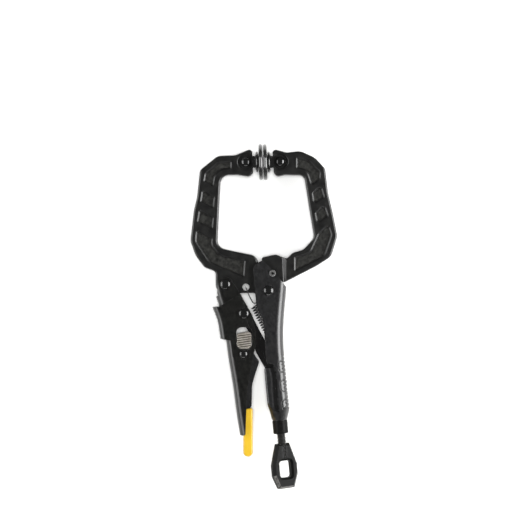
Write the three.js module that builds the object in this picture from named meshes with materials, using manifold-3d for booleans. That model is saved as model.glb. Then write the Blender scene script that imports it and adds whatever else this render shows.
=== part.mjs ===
// Locking C-clamp pliers, lying flat on one side. Millimetres, +Z up, +Y towards the jaws.
// The outlines are drawn in the tool's own plane; z = 0 in the group is the mid-plane of the tool.
import * as THREE from "three";
import { mergeVertices } from "three/addons/utils/BufferGeometryUtils.js";
import Module from "manifold-3d";

const wasm = await Module();
wasm.setup();

// ---------------------------------------------------------------- driving dimensions
const PAD_RADIUS = 10.4;
const MID_PLANE_Z = PAD_RADIUS; // the pads are the widest pieces, so the tool lies on them
const GAP = 0.3; // running clearance between neighbouring pieces

const JAW_HALF = 4.5; // half thickness of the moving jaw, and of the fixed jaw's shank
const FIXED_JAW_HALF = 5.2;
const POCKET_DEPTH = 1.2;
const TIP_SLOT_HALF = 2.6; // slot in each jaw tip for the pad's tongue
const SPOTFACE_RADIUS = 4.9; // seats for the pad rivets' heads
const SPOTFACE_HALF = 3.5;
const CHANNEL_HALF = 4.9; // inside of both folded handles
const HANDLE_SHEET = 1.6;
const LEVER_SHEET = 1.4;
const COVER_SHEET = 1.3;
const HANDLE_HALF = CHANNEL_HALF + HANDLE_SHEET;
const LEVER_HALF = CHANNEL_HALF + LEVER_SHEET;
const COVER_INNER_HALF = LEVER_HALF + GAP;
const COVER_HALF = COVER_INNER_HALF + COVER_SHEET;
const LINK_HALF = 3.4;
const RELEASE_HALF = 3.0;

// pivots in the plane of the tool
const MAIN_PIVOT = [2.7, 14.7];
const TOGGLE_PIVOT = [-21.8, 18.3];
const LINK_PIVOT = [-11.3, 1.7];
const HEEL_CENTRE = [6.6, -32.3]; // round end of the link, over the screw's tip
const RELEASE_PIVOT = [-11.5, -21.2];
const ROLL_PIN = [5.0, 24.5];
const SPRING_HOLE = [-10.2, 16.6];
const SPRING_ANCHOR = [6.5, -15.4];
const ANCHOR_PIN_HALF = CHANNEL_HALF + 0.7; // its ends sit in blind holes in the handle's cheeks
const MOVING_PAD_PIVOT = [-10.25, 87.75];
const FIXED_PAD_PIVOT = [9.25, 88.05];
const PAD_TILT = THREE.MathUtils.degToRad(1.5);

const RIVET_SHANK = 1.6;
const HUB_RADIUS = 7.5;

// adjusting screw: s is measured outwards along its axis from the heel centre
const SCREW_TILT = THREE.MathUtils.degToRad(5.3);
const SCREW_RADIUS = 2.4; // M5, between crest and root
const TIP_START = 6.7;
const TIP_LENGTH = 3.0;
const SCREW_START = TIP_START + TIP_LENGTH + GAP;
const COLLAR_START = 27.0;
const COLLAR_END = 34.6;
const COLLAR_RADIUS = 4.3;
const HEAD_START = 40.3;
const HEAD_END = 66.0;
const HEAD_TURN = THREE.MathUtils.degToRad(28);
const HEAD_HALF = 2.6;

// ---------------------------------------------------------------- colours
const castBlack = { color: 0x1d1e20, roughness: 0.6, metalness: 0.6 };
const satinSteel = { color: 0x2b2c30, roughness: 0.42, metalness: 0.75 };
const glossBlack = { color: 0x131315, roughness: 0.25, metalness: 0.7 };
const blackOxide = { color: 0x18181a, roughness: 0.5, metalness: 0.8 };
const nickel = { color: 0x9a948c, roughness: 0.35, metalness: 0.9 };
const yellowVinyl = { color: 0xffd21f, roughness: 0.5, metalness: 0.0 };

// ---------------------------------------------------------------- helpers
const vector = ([x, y]) => new THREE.Vector2(x, y);

/** Closed outline through corners [x, y, radius]. Each corner is rounded by an arc of its radius,
 *  or of the largest radius that two neighbouring arcs leave room for. */
function rounded(corners, stepDegrees = 18) {
  const bends = corners.map((corner, i) => {
    const here = vector(corner);
    const back = vector(corners[(i + corners.length - 1) % corners.length]).sub(here);
    const ahead = vector(corners[(i + 1) % corners.length]).sub(here);
    const edge = ahead.length();
    back.normalize();
    ahead.normalize();
    const half = Math.acos(THREE.MathUtils.clamp(back.dot(ahead), -1, 1)) / 2;
    const reach = half > 1.54 ? 0 : (corner[2] ?? 0) / Math.tan(half);
    return { here, back, ahead, edge, half, reach };
  });
  const room = (one, other) => Math.min(1, (0.98 * one.edge) / Math.max(one.reach + other.reach, 1e-9));
  const shares = bends.map((bend, i) => Math.min(
    room(bend, bends[(i + 1) % bends.length]),
    room(bends[(i + bends.length - 1) % bends.length], bend),
  ));
  const points = bends.flatMap(({ here, back, ahead, half, reach }, i) => {
    const length = reach * shares[i];
    if (length < 1e-3) return [here];
    const radius = length * Math.tan(half);
    const middle = back.clone().add(ahead).normalize();
    const centre = here.clone().addScaledVector(middle, radius / Math.sin(half));
    const first = here.clone().addScaledVector(back, length).sub(centre);
    const turn = (back.cross(ahead) > 0 ? -1 : 1) * (Math.PI - 2 * half);
    const steps = Math.max(1, Math.ceil(Math.abs(THREE.MathUtils.radToDeg(turn)) / stepDegrees));
    return Array.from({ length: steps + 1 }, (_, k) => (
      first.clone().rotateAround(new THREE.Vector2(), (turn * k) / steps).add(centre)
    ));
  });
  return new THREE.Shape(points);
}

/** Points on an arc around a centre, from one angle to another in degrees. */
function arc([x, y], radius, from, to, steps = 12) {
  return Array.from({ length: steps + 1 }, (_, k) => {
    const angle = THREE.MathUtils.degToRad(from + ((to - from) * k) / steps);
    return [x + radius * Math.cos(angle), y + radius * Math.sin(angle)];
  });
}

/** Plate between z = low and z = high. */
function plate(shape, low, high) {
  const geometry = new THREE.ExtrudeGeometry(shape, { depth: high - low, bevelEnabled: false, curveSegments: 6 });
  return geometry.translate(0, 0, low);
}

/** Round bar along Z between low and high. */
function roundBar([x, y], radius, low, high, sides = 32) {
  const bar = new THREE.CylinderGeometry(radius, radius, high - low, sides);
  return bar.rotateX(Math.PI / 2).translate(x, y, (low + high) / 2);
}

/** Six times the volume inside a closed mesh; negative when its faces point inwards. */
function signedVolume(positions, triangles) {
  const corner = (i) => new THREE.Vector3().fromArray(positions, 3 * triangles[i]);
  let sum = 0;
  for (let i = 0; i < triangles.length; i += 3) {
    sum += corner(i).dot(corner(i + 1).cross(corner(i + 2)));
  }
  return sum;
}

/** A closed geometry as a solid for joining and cutting, with its faces pointing out. */
function solid(geometry) {
  const bare = geometry.clone();
  bare.deleteAttribute("normal");
  bare.deleteAttribute("uv");
  const merged = mergeVertices(bare, 1e-4);
  const vertProperties = new Float32Array(merged.attributes.position.array);
  const triVerts = new Uint32Array(merged.index.array);
  if (signedVolume(vertProperties, triVerts) < 0) triVerts.reverse();
  return new wasm.Manifold(new wasm.Mesh({ numProp: 3, vertProperties, triVerts }));
}

function joined(...geometries) {
  return geometries.map(solid).reduce((sum, next) => sum.add(next));
}

function without(body, ...geometries) {
  return geometries.map(solid).reduce((rest, next) => rest.subtract(next), body);
}

function geometryOf(body) {
  const mesh = body.getMesh();
  const geometry = new THREE.BufferGeometry();
  geometry.setAttribute("position", new THREE.BufferAttribute(new Float32Array(mesh.vertProperties), 3));
  geometry.setIndex(new THREE.BufferAttribute(new Uint32Array(mesh.triVerts), 1));
  geometry.computeVertexNormals();
  return geometry;
}

function named(name, body, finish) {
  const geometry = body.isBufferGeometry ? body : geometryOf(body);
  const mesh = new THREE.Mesh(geometry, new THREE.MeshStandardMaterial(finish));
  mesh.name = name;
  return mesh;
}

/** Bar swept along a plane curve, with a rounded back on the curve and a flat, open-ended front.
 *  side is +1 when the material lies to the left of the travel direction (+Y), -1 when to the right. */
function backedBar(spine, side, inset, half, radius, reach) {
  const path = new THREE.CatmullRomCurve3(spine.map(([x, y]) => new THREE.Vector3(x, y, 0)), false, "centripetal");
  const section = rounded(
    [
      [-half, side * inset, radius],
      [half, side * inset, radius],
      [half, side * reach],
      [-half, side * reach],
    ],
    30,
  );
  return new THREE.ExtrudeGeometry(section, { steps: 14, bevelEnabled: false, extrudePath: path });
}

/** Rivet across the tool: two domed heads joined by a shank. */
function rivet([x, y], faceHalf, headRadius, headHeight) {
  const seat = faceHalf + GAP;
  const dome = Array.from({ length: 3 }, (_, k) => {
    const angle = (k / 3) * (Math.PI / 2);
    return new THREE.Vector2(headRadius * Math.cos(angle), seat + headHeight * (0.25 + 0.75 * Math.sin(angle)));
  });
  const upper = [
    new THREE.Vector2(RIVET_SHANK, seat),
    new THREE.Vector2(headRadius, seat),
    ...dome,
    new THREE.Vector2(0, seat + headHeight),
  ];
  const lower = upper.map((p) => new THREE.Vector2(p.x, -p.y)).reverse();
  const geometry = new THREE.LatheGeometry([...lower, ...upper], 16);
  return geometry.rotateX(Math.PI / 2).translate(x, y, 0);
}

/** Turn a geometry made along -Y from its own origin onto the screw's axis. */
function ontoScrew(geometry) {
  return geometry.rotateZ(SCREW_TILT).translate(HEEL_CENTRE[0], HEEL_CENTRE[1], 0);
}

/** Surface turned about the screw's axis, from profile points [radius, s]. */
function turnedOnScrew(profile, sides = 32) {
  const points = profile.map(([radius, s]) => new THREE.Vector2(radius, -s));
  return ontoScrew(new THREE.LatheGeometry(points.reverse(), sides));
}

// ---------------------------------------------------------------- jaws
const movingJawOutline = rounded([
  [-6.6, 94.9, 2.2],
  [-8.6, 94.9, 2.0],
  [-16.4, 91.7, 6.0],
  [-26.2, 91.4, 6.0],
  [-36.4, 83.2, 4.0],
  [-38.0, 68.0, 12.0],
  [-39.9, 60.0, 20.0],
  [-41.9, 42.8, 8.0],
  [-38.9, 34.6, 14.0],
  [-33.8, 27.8, 4.0],
  [-27.4, 25.4, 2.4],
  [-27.4, 12.7, 5.5],
  [-16.4, 12.7, 4.0],
  [-13.0, 13.2, 3.0],
  [-4.9, 13.2, 1.2],
  [-4.8, 7.2, 6.9],
  [10.2, 7.2, 7.4],
  [10.2, 22.2, 7.4],
  [1.0, 22.2, 3.0],
  [-2.9, 25.0, 3.0],
  [-3.6, 34.4, 5.0],
  [-16.3, 37.0, 10.0],
  [-26.4, 39.3, 5.0],
  [-25.6, 57.0, 60.0],
  [-24.4, 80.2, 5.0],
  [-15.0, 80.4, 3.0],
  [-8.4, 79.3, 2.2],
  [-6.0, 81.4, 2.4],
]);

const movingPockets = [
  // corner panel, two slanted panels of the back, lower corner and arm
  [[-18.2, 88.4, 1.2], [-25.8, 88.2, 4], [-33.6, 81.4, 3], [-34.4, 76.6, 1.2], [-28.6, 73.0, 1.4],
    [-27.4, 80.0, 4], [-23.0, 83.2, 3], [-18.2, 83.4, 1.2]],
  [[-35.1, 72.6, 1.4], [-36.3, 65.0, 1.4], [-28.4, 60.4, 1.4], [-27.6, 67.9, 1.4]],
  [[-36.8, 61.4, 1.4], [-38.1, 53.6, 1.4], [-29.0, 48.6, 1.4], [-28.2, 56.3, 1.4]],
  [[-38.5, 49.8, 1.4], [-39.2, 42.6, 4], [-31.4, 30.6, 5], [-24.0, 27.0, 2], [-11.0, 21.8, 1.2],
    [-10.2, 32.2, 1.2], [-25.0, 35.5, 4], [-29.2, 40.8, 4], [-28.8, 44.4, 1.4]],
];

const fixedJawOutline = rounded([
  [4.8, 94.9, 2.0],
  [7.2, 94.8, 3.0],
  [13.0, 93.2, 5.0],
  [20.8, 94.2, 9.0],
  [29.0, 90.4, 9.0],
  [35.0, 84.0, 4.0],
  [36.6, 70.4, 14.0],
  [39.6, 57.4, 40.0],
  [41.9, 45.6, 6.0],
  [38.4, 34.0, 7.0],
  [30.0, 28.6, 20.0],
  [15.8, 21.3, 1.5],
  [12.4, 19.6, 1.0],
  ...arc(MAIN_PIVOT, HUB_RADIUS + 0.8, 32, 98, 8),
  [0.2, 24.4, 1.0],
  [-0.9, 27.0, 2.0],
  [-1.2, 33.6, 1.4],
  [6.8, 35.3, 4.0],
  [13.0, 32.9, 1.6],
  [16.4, 36.2, 3.0],
  [22.4, 38.0, 5.0],
  [28.6, 44.6, 5.0],
  [25.6, 62.6, 30.0],
  [22.9, 80.1, 3.5],
  [12.0, 80.4, 3.0],
  [7.4, 79.3, 2.2],
  [5.7, 81.5, 2.6],
]);

const fixedPockets = [
  [[18.3, 90.9, 1.2], [25.6, 89.4, 5], [32.6, 82.0, 3], [32.4, 77.6, 3], [27.0, 73.6, 1.6],
    [24.2, 82.4, 4], [18.3, 84.0, 1.2]],
  [[27.2, 70.2, 2], [32.6, 75.6, 2], [35.0, 67.6, 2], [28.2, 62.6, 2]],
  [[28.8, 58.8, 2], [34.6, 64.6, 2], [37.2, 56.8, 2], [30.2, 51.6, 2]],
  [[30.8, 47.4, 3], [36.8, 53.4, 2], [39.2, 46.4, 5], [34.8, 33.8, 6], [17.2, 24.6, 1.2],
    [17.2, 34.0, 1.2], [26.0, 36.8, 4]],
];

/** The same prism on both faces of the tool, from z = low outwards. */
function bothFaces(shape, low, high) {
  return [plate(shape, low, high), plate(shape, -high, -low)];
}

/** Fork at a jaw's tip: a blind slot for the pad's tongue, spotfaces and a hole for its rivet. */
function padFork([x, y], half, towards) {
  const slot = rounded([
    [x - towards * 4.3, y - 5.0, 3.5],
    [x - towards * 4.3, y + 5.0, 3.5],
    [x + towards * 9, y + 5.0],
    [x + towards * 9, y - 5.0],
  ]);
  return [
    plate(slot, -TIP_SLOT_HALF, TIP_SLOT_HALF),
    roundBar([x, y], SPOTFACE_RADIUS, SPOTFACE_HALF, half + 1, 36),
    roundBar([x, y], SPOTFACE_RADIUS, -half - 1, -SPOTFACE_HALF, 36),
    roundBar([x, y], RIVET_SHANK + GAP, -half, half, 20),
  ];
}

function movingJaw() {
  return without(
    solid(plate(movingJawOutline, -JAW_HALF, JAW_HALF)),
    ...movingPockets.flatMap((panel) => bothFaces(rounded(panel, 30), JAW_HALF - POCKET_DEPTH, JAW_HALF + 1)),
    ...padFork(MOVING_PAD_PIVOT, JAW_HALF, 1),
    roundBar(MAIN_PIVOT, RIVET_SHANK + GAP, -6, 6, 24),
    roundBar(TOGGLE_PIVOT, RIVET_SHANK + GAP, -6, 6, 24),
    roundBar(SPRING_HOLE, 2.0, -6, 6, 20),
  );
}

/** Cutter that thins the fixed jaw's shank, with a sloped shoulder at the jaw's root. */
function shankCut(face) {
  const slope = new THREE.Shape([
    new THREE.Vector2(-20, face * JAW_HALF),
    new THREE.Vector2(12.3, face * JAW_HALF),
    new THREE.Vector2(13.5, face * (FIXED_JAW_HALF + 0.1)),
    new THREE.Vector2(13.5, face * (FIXED_JAW_HALF + 2)),
    new THREE.Vector2(-20, face * (FIXED_JAW_HALF + 2)),
  ]);
  const prism = new THREE.ExtrudeGeometry(slope, { depth: 28, bevelEnabled: false });
  return prism.rotateX(Math.PI / 2).translate(-12.3, 23, 0).rotateZ(-0.15).translate(12.3, 17, 0);
}

function fixedJaw() {
  return without(
    solid(plate(fixedJawOutline, -FIXED_JAW_HALF, FIXED_JAW_HALF)),
    ...fixedPockets.flatMap((panel) => (
      bothFaces(rounded(panel, 30), FIXED_JAW_HALF - POCKET_DEPTH, FIXED_JAW_HALF + 1)
    )),
    ...padFork(FIXED_PAD_PIVOT, FIXED_JAW_HALF, -1),
    shankCut(1),
    shankCut(-1),
    roundBar(ROLL_PIN, 1.6 + GAP, -6, 6, 20),
  );
}

// ---------------------------------------------------------------- swivel pads
const PAD_FACE = 9.45; // from the pad's rivet to its clamping face
const PAD_THICKNESS = 2.0;
const COLLAR_RING = [5.6, 6.9, 5.9]; // start, end, radius of the ring behind the pad
const NECK_RADIUS = 4.6;

/** Turned pad with a flat tongue; the clamping face looks along +X from the rivet. */
function swivelPad() {
  const [ringStart, ringEnd, ringRadius] = COLLAR_RING;
  const back = PAD_FACE - PAD_THICKNESS;
  const profile = [
    [0, ringStart],
    [ringRadius - 0.4, ringStart],
    [ringRadius, ringStart + 0.4],
    [ringRadius, ringEnd - 0.3],
    [NECK_RADIUS, ringEnd],
    [NECK_RADIUS, back],
    [PAD_RADIUS - 0.5, back],
    [PAD_RADIUS, back + 0.5],
    [PAD_RADIUS, PAD_FACE - 0.4],
    [PAD_RADIUS - 0.4, PAD_FACE],
    [0, PAD_FACE],
  ].map(([radius, along]) => new THREE.Vector2(radius, along));
  const turned = new THREE.LatheGeometry(profile, 36).rotateZ(-Math.PI / 2);
  const tongue = plate(
    rounded([[-3.5, -3.4, 3.3], [-3.5, 3.4, 3.3], [ringEnd - 0.5, 3.4], [ringEnd - 0.5, -3.4]]),
    -TIP_SLOT_HALF + GAP,
    TIP_SLOT_HALF - GAP,
  );
  return without(joined(turned, tongue), roundBar([0, 0], RIVET_SHANK + GAP, -4, 4, 20));
}

function padAt(name, [x, y], angle) {
  const pad = named(name, swivelPad(), castBlack);
  pad.position.set(x, y, 0);
  pad.rotation.z = angle;
  return pad;
}

// ---------------------------------------------------------------- fixed handle
const handleSpine = [
  [14.9, -66], [14.6, -53], [13.6, -43], [12.4, -30], [11.3, -18], [11.1, -8], [11.6, 2], [12.6, 13], [13.4, 26],
  [14.0, 42],
];
const handleFront = [[4.0, -64], [2.1, -50], [1.1, -40], [0.3, -30], [-0.6, -18]];

const handleOutline = rounded([
  [-0.8, 32.0, 1.6],
  [6.4, 24.9, 3.0],
  [12.8, 16.6, 3.0],
  [15.5, 14.0],
  [15.5, -62.0],
  [5.2, -62.0],
  [3.9, -55.6, 4.0],
  [2.1, -50.0, 6.0],
  [0.2, -29.6, 1.2],
  [5.6, -29.2, 0.8],
  [5.6, -27.2, 0.8],
  [1.3, -26.2, 1.0],
  [0.4, -10.0, 6.0],
  [-0.4, -2.0, 8.0],
  [-4.2, 5.6, 6.0],
  [-5.0, 16.0, 10.0],
  [-6.2, 28.6, 4.0],
]);

const handleCavity = rounded([
  [-30, 40],
  [30, 40],
  [30, -46],
  [12.2, -51.0, 1.6],
  [5.2, -51.0, 1.0],
  [3.5, -48.2, 2.0],
  [2.4, -37.6, 0.8],
  [-30, -36.4],
]);

function fixedHandle() {
  const back = solid(backedBar(handleSpine, 1, 0, HANDLE_HALF, 3.0, 44));
  const hollow = solid(backedBar(handleSpine, 1, HANDLE_SHEET, CHANNEL_HALF, 1.4, 60));
  const front = solid(backedBar(handleFront, -1, 0, HANDLE_HALF + 0.1, 3.0, 40));
  const besideFront = solid(plate(rounded([[-20, -70], [7, -70], [7, -28.6], [-20, -28.6]]), -10, 10));
  const nose = solid(turnedOnScrew([[0, -90], [50, -90], [50, 13], [9.2, 15], [6.4, 20.4], [4.4, 26], [4.2, 30],
    [0, 30]], 40));
  const collar = turnedOnScrew([
    [0, COLLAR_START - 4],
    [COLLAR_RADIUS - 0.2, COLLAR_START - 4],
    [COLLAR_RADIUS, COLLAR_START + 0.4],
    [COLLAR_RADIUS, COLLAR_END - 0.4],
    [COLLAR_RADIUS - 0.4, COLLAR_END],
    [0, COLLAR_END],
  ], 40);
  const shell = solid(plate(handleOutline, -HANDLE_HALF, HANDLE_HALF))
    .intersect(back)
    .subtract(besideFront.subtract(front))
    .intersect(nose)
    .subtract(hollow.intersect(solid(plate(handleCavity, -10, 10))))
    .add(solid(collar));
  return without(
    shell,
    turnedOnScrew([[0, COLLAR_START - 12], [SCREW_RADIUS + GAP, COLLAR_START - 12],
      [SCREW_RADIUS + GAP, COLLAR_END + 3], [0, COLLAR_END + 3]]),
    roundBar(MAIN_PIVOT, RIVET_SHANK + GAP, -10, 10, 24),
    roundBar(ROLL_PIN, 1.6 + GAP, -10, 10, 20),
    roundBar(SPRING_ANCHOR, 1.5 + GAP, -ANCHOR_PIN_HALF - GAP, ANCHOR_PIN_HALF + GAP, 20),
  );
}

// ---------------------------------------------------------------- lever handle and its cover
const leverSpine = [
  [-12.8, -74], [-13.7, -66.5], [-15.6, -54], [-17.5, -39.5], [-19.9, -25], [-21.5, -13.5], [-23.3, -3],
  [-25.5, 5.8], [-27.6, 13], [-30.0, 24],
];

const leverOutline = rounded([
  [-25.9, 21.0, 3.4],
  [-20.4, 23.6, 4.0],
  [-14.8, 15.4, 8.0],
  [-11.5, 9.2, 8.0],
  [-6.4, 0.4, 10.0],
  [-4.6, -9.0, 12.0],
  [-4.2, -15.0, 8.0],
  [-6.6, -25.4, 10.0],
  [-9.2, -41.0, 20.0],
  [-10.0, -55.0, 30.0],
  [-10.4, -67.6, 1.2],
  [-15.0, -67.6],
  [-30.0, 0.0],
  [-29.0, 11.2],
  [-26.6, 11.2, 0.6],
]);

const slotOutline = rounded([
  [-15.7, -6.1, 3.2],
  [-6.6, -6.1, 3.2],
  [-6.6, -18.7, 3.2],
  [-15.7, -18.7, 3.2],
]);

function leverHandle() {
  const back = solid(backedBar(leverSpine, -1, 0, LEVER_HALF, 2.6, 44));
  const hollow = solid(backedBar(leverSpine, -1, LEVER_SHEET, CHANNEL_HALF, 1.2, 60));
  const above = solid(plate(rounded([[-40, 40], [-40, 11.6], [10, 11.6], [10, 40]]), -CHANNEL_HALF, CHANNEL_HALF));
  const shell = solid(plate(leverOutline, -LEVER_HALF, LEVER_HALF))
    .intersect(back)
    .subtract(hollow)
    .subtract(above);
  return without(
    shell,
    plate(slotOutline, -10, 10),
    roundBar(TOGGLE_PIVOT, RIVET_SHANK + GAP, -10, 10, 24),
    roundBar(LINK_PIVOT, RIVET_SHANK + GAP, -10, 10, 24),
    roundBar(RELEASE_PIVOT, RIVET_SHANK + GAP, -10, 10, 24),
  );
}

const coverSpine = [
  [-23.4, -26], [-24.3, -16], [-25.1, -9.5], [-26.2, -3], [-28.4, 3.4], [-31.4, 11],
];

const coverOutline = rounded([
  [-30.6, 5.4],
  [-25.8, 5.4, 1.5],
  [-14.7, 12.0, 1.5],
  [-11.6, 9.6, 2.0],
  [-9.6, -2.1, 20.0],
  [-5.6, -13.0, 10.0],
  [-5.6, -22.2, 1.6],
  [-11.0, -24.4, 8.0],
  [-17.4, -24.4, 2.6],
  [-18.9, -13.6, 0.6],
  [-21.6, -13.2, 0.6],
  [-24.5, -12.7, 0.4],
  [-30.0, -12.4],
]);

/** Shallow thumb grooves across the cover's back. */
function coverGrooves() {
  const count = 8;
  const curve = new THREE.CatmullRomCurve3(coverSpine.map(([x, y]) => new THREE.Vector3(x, y, 0)));
  return Array.from({ length: count }, (_, k) => {
    const at = curve.getPointAt(0.41 + (0.33 * k) / (count - 1));
    const groove = new THREE.CylinderGeometry(0.45, 0.45, 9.6, 8).rotateX(Math.PI / 2);
    return groove.translate(at.x - 0.05, at.y, 0);
  });
}

function lockCover() {
  const back = solid(backedBar(coverSpine, -1, 0, COVER_HALF, 2.4, 44));
  const hollow = solid(backedBar(coverSpine, -1, COVER_SHEET, COVER_INNER_HALF, 1.2, 60));
  return without(
    solid(plate(coverOutline, -COVER_HALF, COVER_HALF)).intersect(back).subtract(hollow),
    ...coverGrooves(),
    plate(slotOutline, -10, 10),
    roundBar(LINK_PIVOT, RIVET_SHANK + GAP, -10, 10, 24),
    roundBar(RELEASE_PIVOT, RIVET_SHANK + GAP, -10, 10, 24),
  );
}

// ---------------------------------------------------------------- toggle link and release lever
/** Point beside the link's centre line: along it from the upper pivot, and out to its left side. */
function besideLink(along, left, radius) {
  const direction = vector(HEEL_CENTRE).sub(vector(LINK_PIVOT)).normalize();
  const side = new THREE.Vector2(direction.y, -direction.x);
  const point = vector(LINK_PIVOT).addScaledVector(direction, along).addScaledVector(side, left);
  return [point.x, point.y, radius];
}

const linkLength = vector(HEEL_CENTRE).distanceTo(vector(LINK_PIVOT));

function toggleLink() {
  const outline = rounded([
    besideLink(-3.9, 3.9, 3.8),
    besideLink(-3.9, -3.9, 3.8),
    besideLink(6.0, -3.4, 10.0),
    besideLink(linkLength + 3.3, -3.3, 3.2),
    besideLink(linkLength + 3.3, 3.3, 3.2),
    besideLink(30.0, 4.0, 6.0),
    besideLink(23.0, 4.2, 6.0),
    besideLink(11.0, 2.4, 10.0),
  ]);
  return without(
    solid(plate(outline, -LINK_HALF, LINK_HALF)),
    roundBar(LINK_PIVOT, RIVET_SHANK + GAP, -6, 6, 24),
  );
}

const BLADE_TOP = -51.0; // the blade narrows here and goes into its sleeve
const BLADE_LEFT = -10.5;
const BLADE_RIGHT = -7.5;
const BLADE_END = -76.4;

function releaseLever() {
  const outline = rounded([
    [-15.2, -17.5, 3.6],
    [-7.8, -17.5, 3.4],
    [-5.6, -21.4, 3.0],
    [-2.6, -26.0, 1.4],
    [-4.8, -32.6, 10.0],
    [-6.6, -39.0, 10.0],
    [-6.9, BLADE_TOP],
    [BLADE_RIGHT, BLADE_TOP - 0.6, 0.5],
    [BLADE_RIGHT, BLADE_END, 1.2],
    [BLADE_LEFT, BLADE_END, 1.2],
    [BLADE_LEFT, BLADE_TOP - 0.8, 0.5],
    [-11.6, BLADE_TOP],
    [-14.2, -34.0, 10.0],
    [-15.4, -24.0, 5.0],
  ]);
  return without(
    solid(plate(outline, -RELEASE_HALF, RELEASE_HALF)),
    roundBar(RELEASE_PIVOT, RIVET_SHANK + GAP, -6, 6, 24),
  );
}

function releaseGrip() {
  const wall = 0.9;
  const sleeve = rounded([
    [BLADE_LEFT - GAP - wall, BLADE_TOP - 1.9, 0.8],
    [BLADE_RIGHT + GAP + wall, BLADE_TOP - 1.0, 0.8],
    [BLADE_RIGHT + GAP + wall, -79.8, 2.6],
    [BLADE_LEFT - GAP - wall, -79.8, 2.6],
  ]);
  const inside = rounded([
    [BLADE_LEFT - GAP, BLADE_TOP + 6],
    [BLADE_RIGHT + GAP, BLADE_TOP + 6],
    [BLADE_RIGHT + GAP, BLADE_END - GAP, 1.3],
    [BLADE_LEFT - GAP, BLADE_END - GAP, 1.3],
  ]);
  const half = RELEASE_HALF + GAP;
  return without(solid(plate(sleeve, -half - wall, half + wall)), plate(inside, -half, half));
}

// ---------------------------------------------------------------- lock slide
function lockSlide() {
  const face = rounded([
    [-15.3, -9.9, 1.0],
    [-7.0, -8.2, 2.2],
    [-7.0, -18.3, 2.8],
    [-15.3, -18.3, 2.8],
  ]);
  const core = rounded([[-14.8, -10.8, 0.6], [-11.6, -10.8, 0.6], [-11.6, -15.8, 0.6], [-14.8, -15.8, 0.6]]);
  const ribs = Array.from({ length: 5 }, (_, k) => {
    const groove = new THREE.CylinderGeometry(0.42, 0.42, 12, 8).rotateZ(Math.PI / 2 + 0.14);
    return groove.translate(-11.1, -10.6 - 1.75 * k, COVER_HALF + 0.75);
  });
  const body = joined(...bothFaces(face, LINK_HALF + 0.35, COVER_HALF + 0.6), plate(core, -5, 5));
  return without(body, ...ribs, ...ribs.map((rib) => rib.clone().translate(0, 0, -2 * (COVER_HALF + 0.75))));
}

/** Bowed leaf between the lever's back and the slide. */
function detentSpring() {
  const bow = new THREE.CatmullRomCurve3([
    new THREE.Vector3(-19.6, -6.0, 0),
    new THREE.Vector3(-17.4, -9.4, 0),
    new THREE.Vector3(-15.4, -13.2, 0),
    new THREE.Vector3(-16.6, -17.0, 0),
    new THREE.Vector3(-18.4, -19.6, 0),
  ]);
  const section = new THREE.Shape([
    new THREE.Vector2(-2.4, -0.2),
    new THREE.Vector2(2.4, -0.2),
    new THREE.Vector2(2.4, 0.2),
    new THREE.Vector2(-2.4, 0.2),
  ]);
  return solid(new THREE.ExtrudeGeometry(section, { steps: 16, bevelEnabled: false, extrudePath: bow }));
}

// ---------------------------------------------------------------- opening spring
const COIL_RADIUS = 2.25;
const WIRE_RADIUS = 0.4;
const COIL_TOP = new THREE.Vector3(-5.0, 6.0, 0);
const COIL_BOTTOM = new THREE.Vector3(3.4, -10.6, 0);

function wire(points, steps) {
  const path = new THREE.CatmullRomCurve3(points.map(([x, y, z]) => new THREE.Vector3(x, y, z)));
  const section = new THREE.Shape(arc([0, 0], WIRE_RADIUS, 0, 300, 5).map(vector));
  return new THREE.ExtrudeGeometry(section, { steps, bevelEnabled: false, extrudePath: path });
}

/** Outer shape of the coil, with the wire hooks at its two ends. */
function openingSpring() {
  const axis = COIL_BOTTOM.clone().sub(COIL_TOP);
  const coil = new THREE.CylinderGeometry(COIL_RADIUS, COIL_RADIUS, axis.length(), 18);
  coil.applyQuaternion(new THREE.Quaternion().setFromUnitVectors(new THREE.Vector3(0, -1, 0), axis.clone().normalize()));
  coil.translate(...COIL_TOP.clone().add(COIL_BOTTOM).multiplyScalar(0.5).toArray());
  const upperHook = wire([
    [-4.2, 4.4, 0.8], [-5.6, 7.0, 2.2], [-7.2, 9.8, 4.2], [-8.5, 12.2, 5.2], [-9.7, 15.2, 5.3],
    [-10.2, 16.5, 4.0], [-10.2, 16.6, 1.0], [-10.2, 16.6, -2.0],
  ], 18);
  const [x, y] = SPRING_ANCHOR;
  const lowerHook = wire([
    [2.6, -9.2, 0], [4.0, -11.8, 0], ...arc([x, y], 2.2, 125, -90, 8).map(([u, v]) => [u, v, 0]),
  ], 16);
  return joined(coil, upperHook, lowerHook);
}

// ---------------------------------------------------------------- adjusting screw
function thrustTip() {
  return solid(turnedOnScrew([
    [0, TIP_START],
    [1.6, TIP_START + 0.3],
    [2.8, TIP_START + 1.3],
    [2.8, TIP_START + TIP_LENGTH],
    [0, TIP_START + TIP_LENGTH],
  ], 24));
}

function adjustingScrew() {
  return solid(turnedOnScrew([
    [0, SCREW_START],
    [SCREW_RADIUS - 0.5, SCREW_START],
    [SCREW_RADIUS, SCREW_START + 0.5],
    [SCREW_RADIUS, 48.0],
    [0, 48.0],
  ], 24));
}

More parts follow.
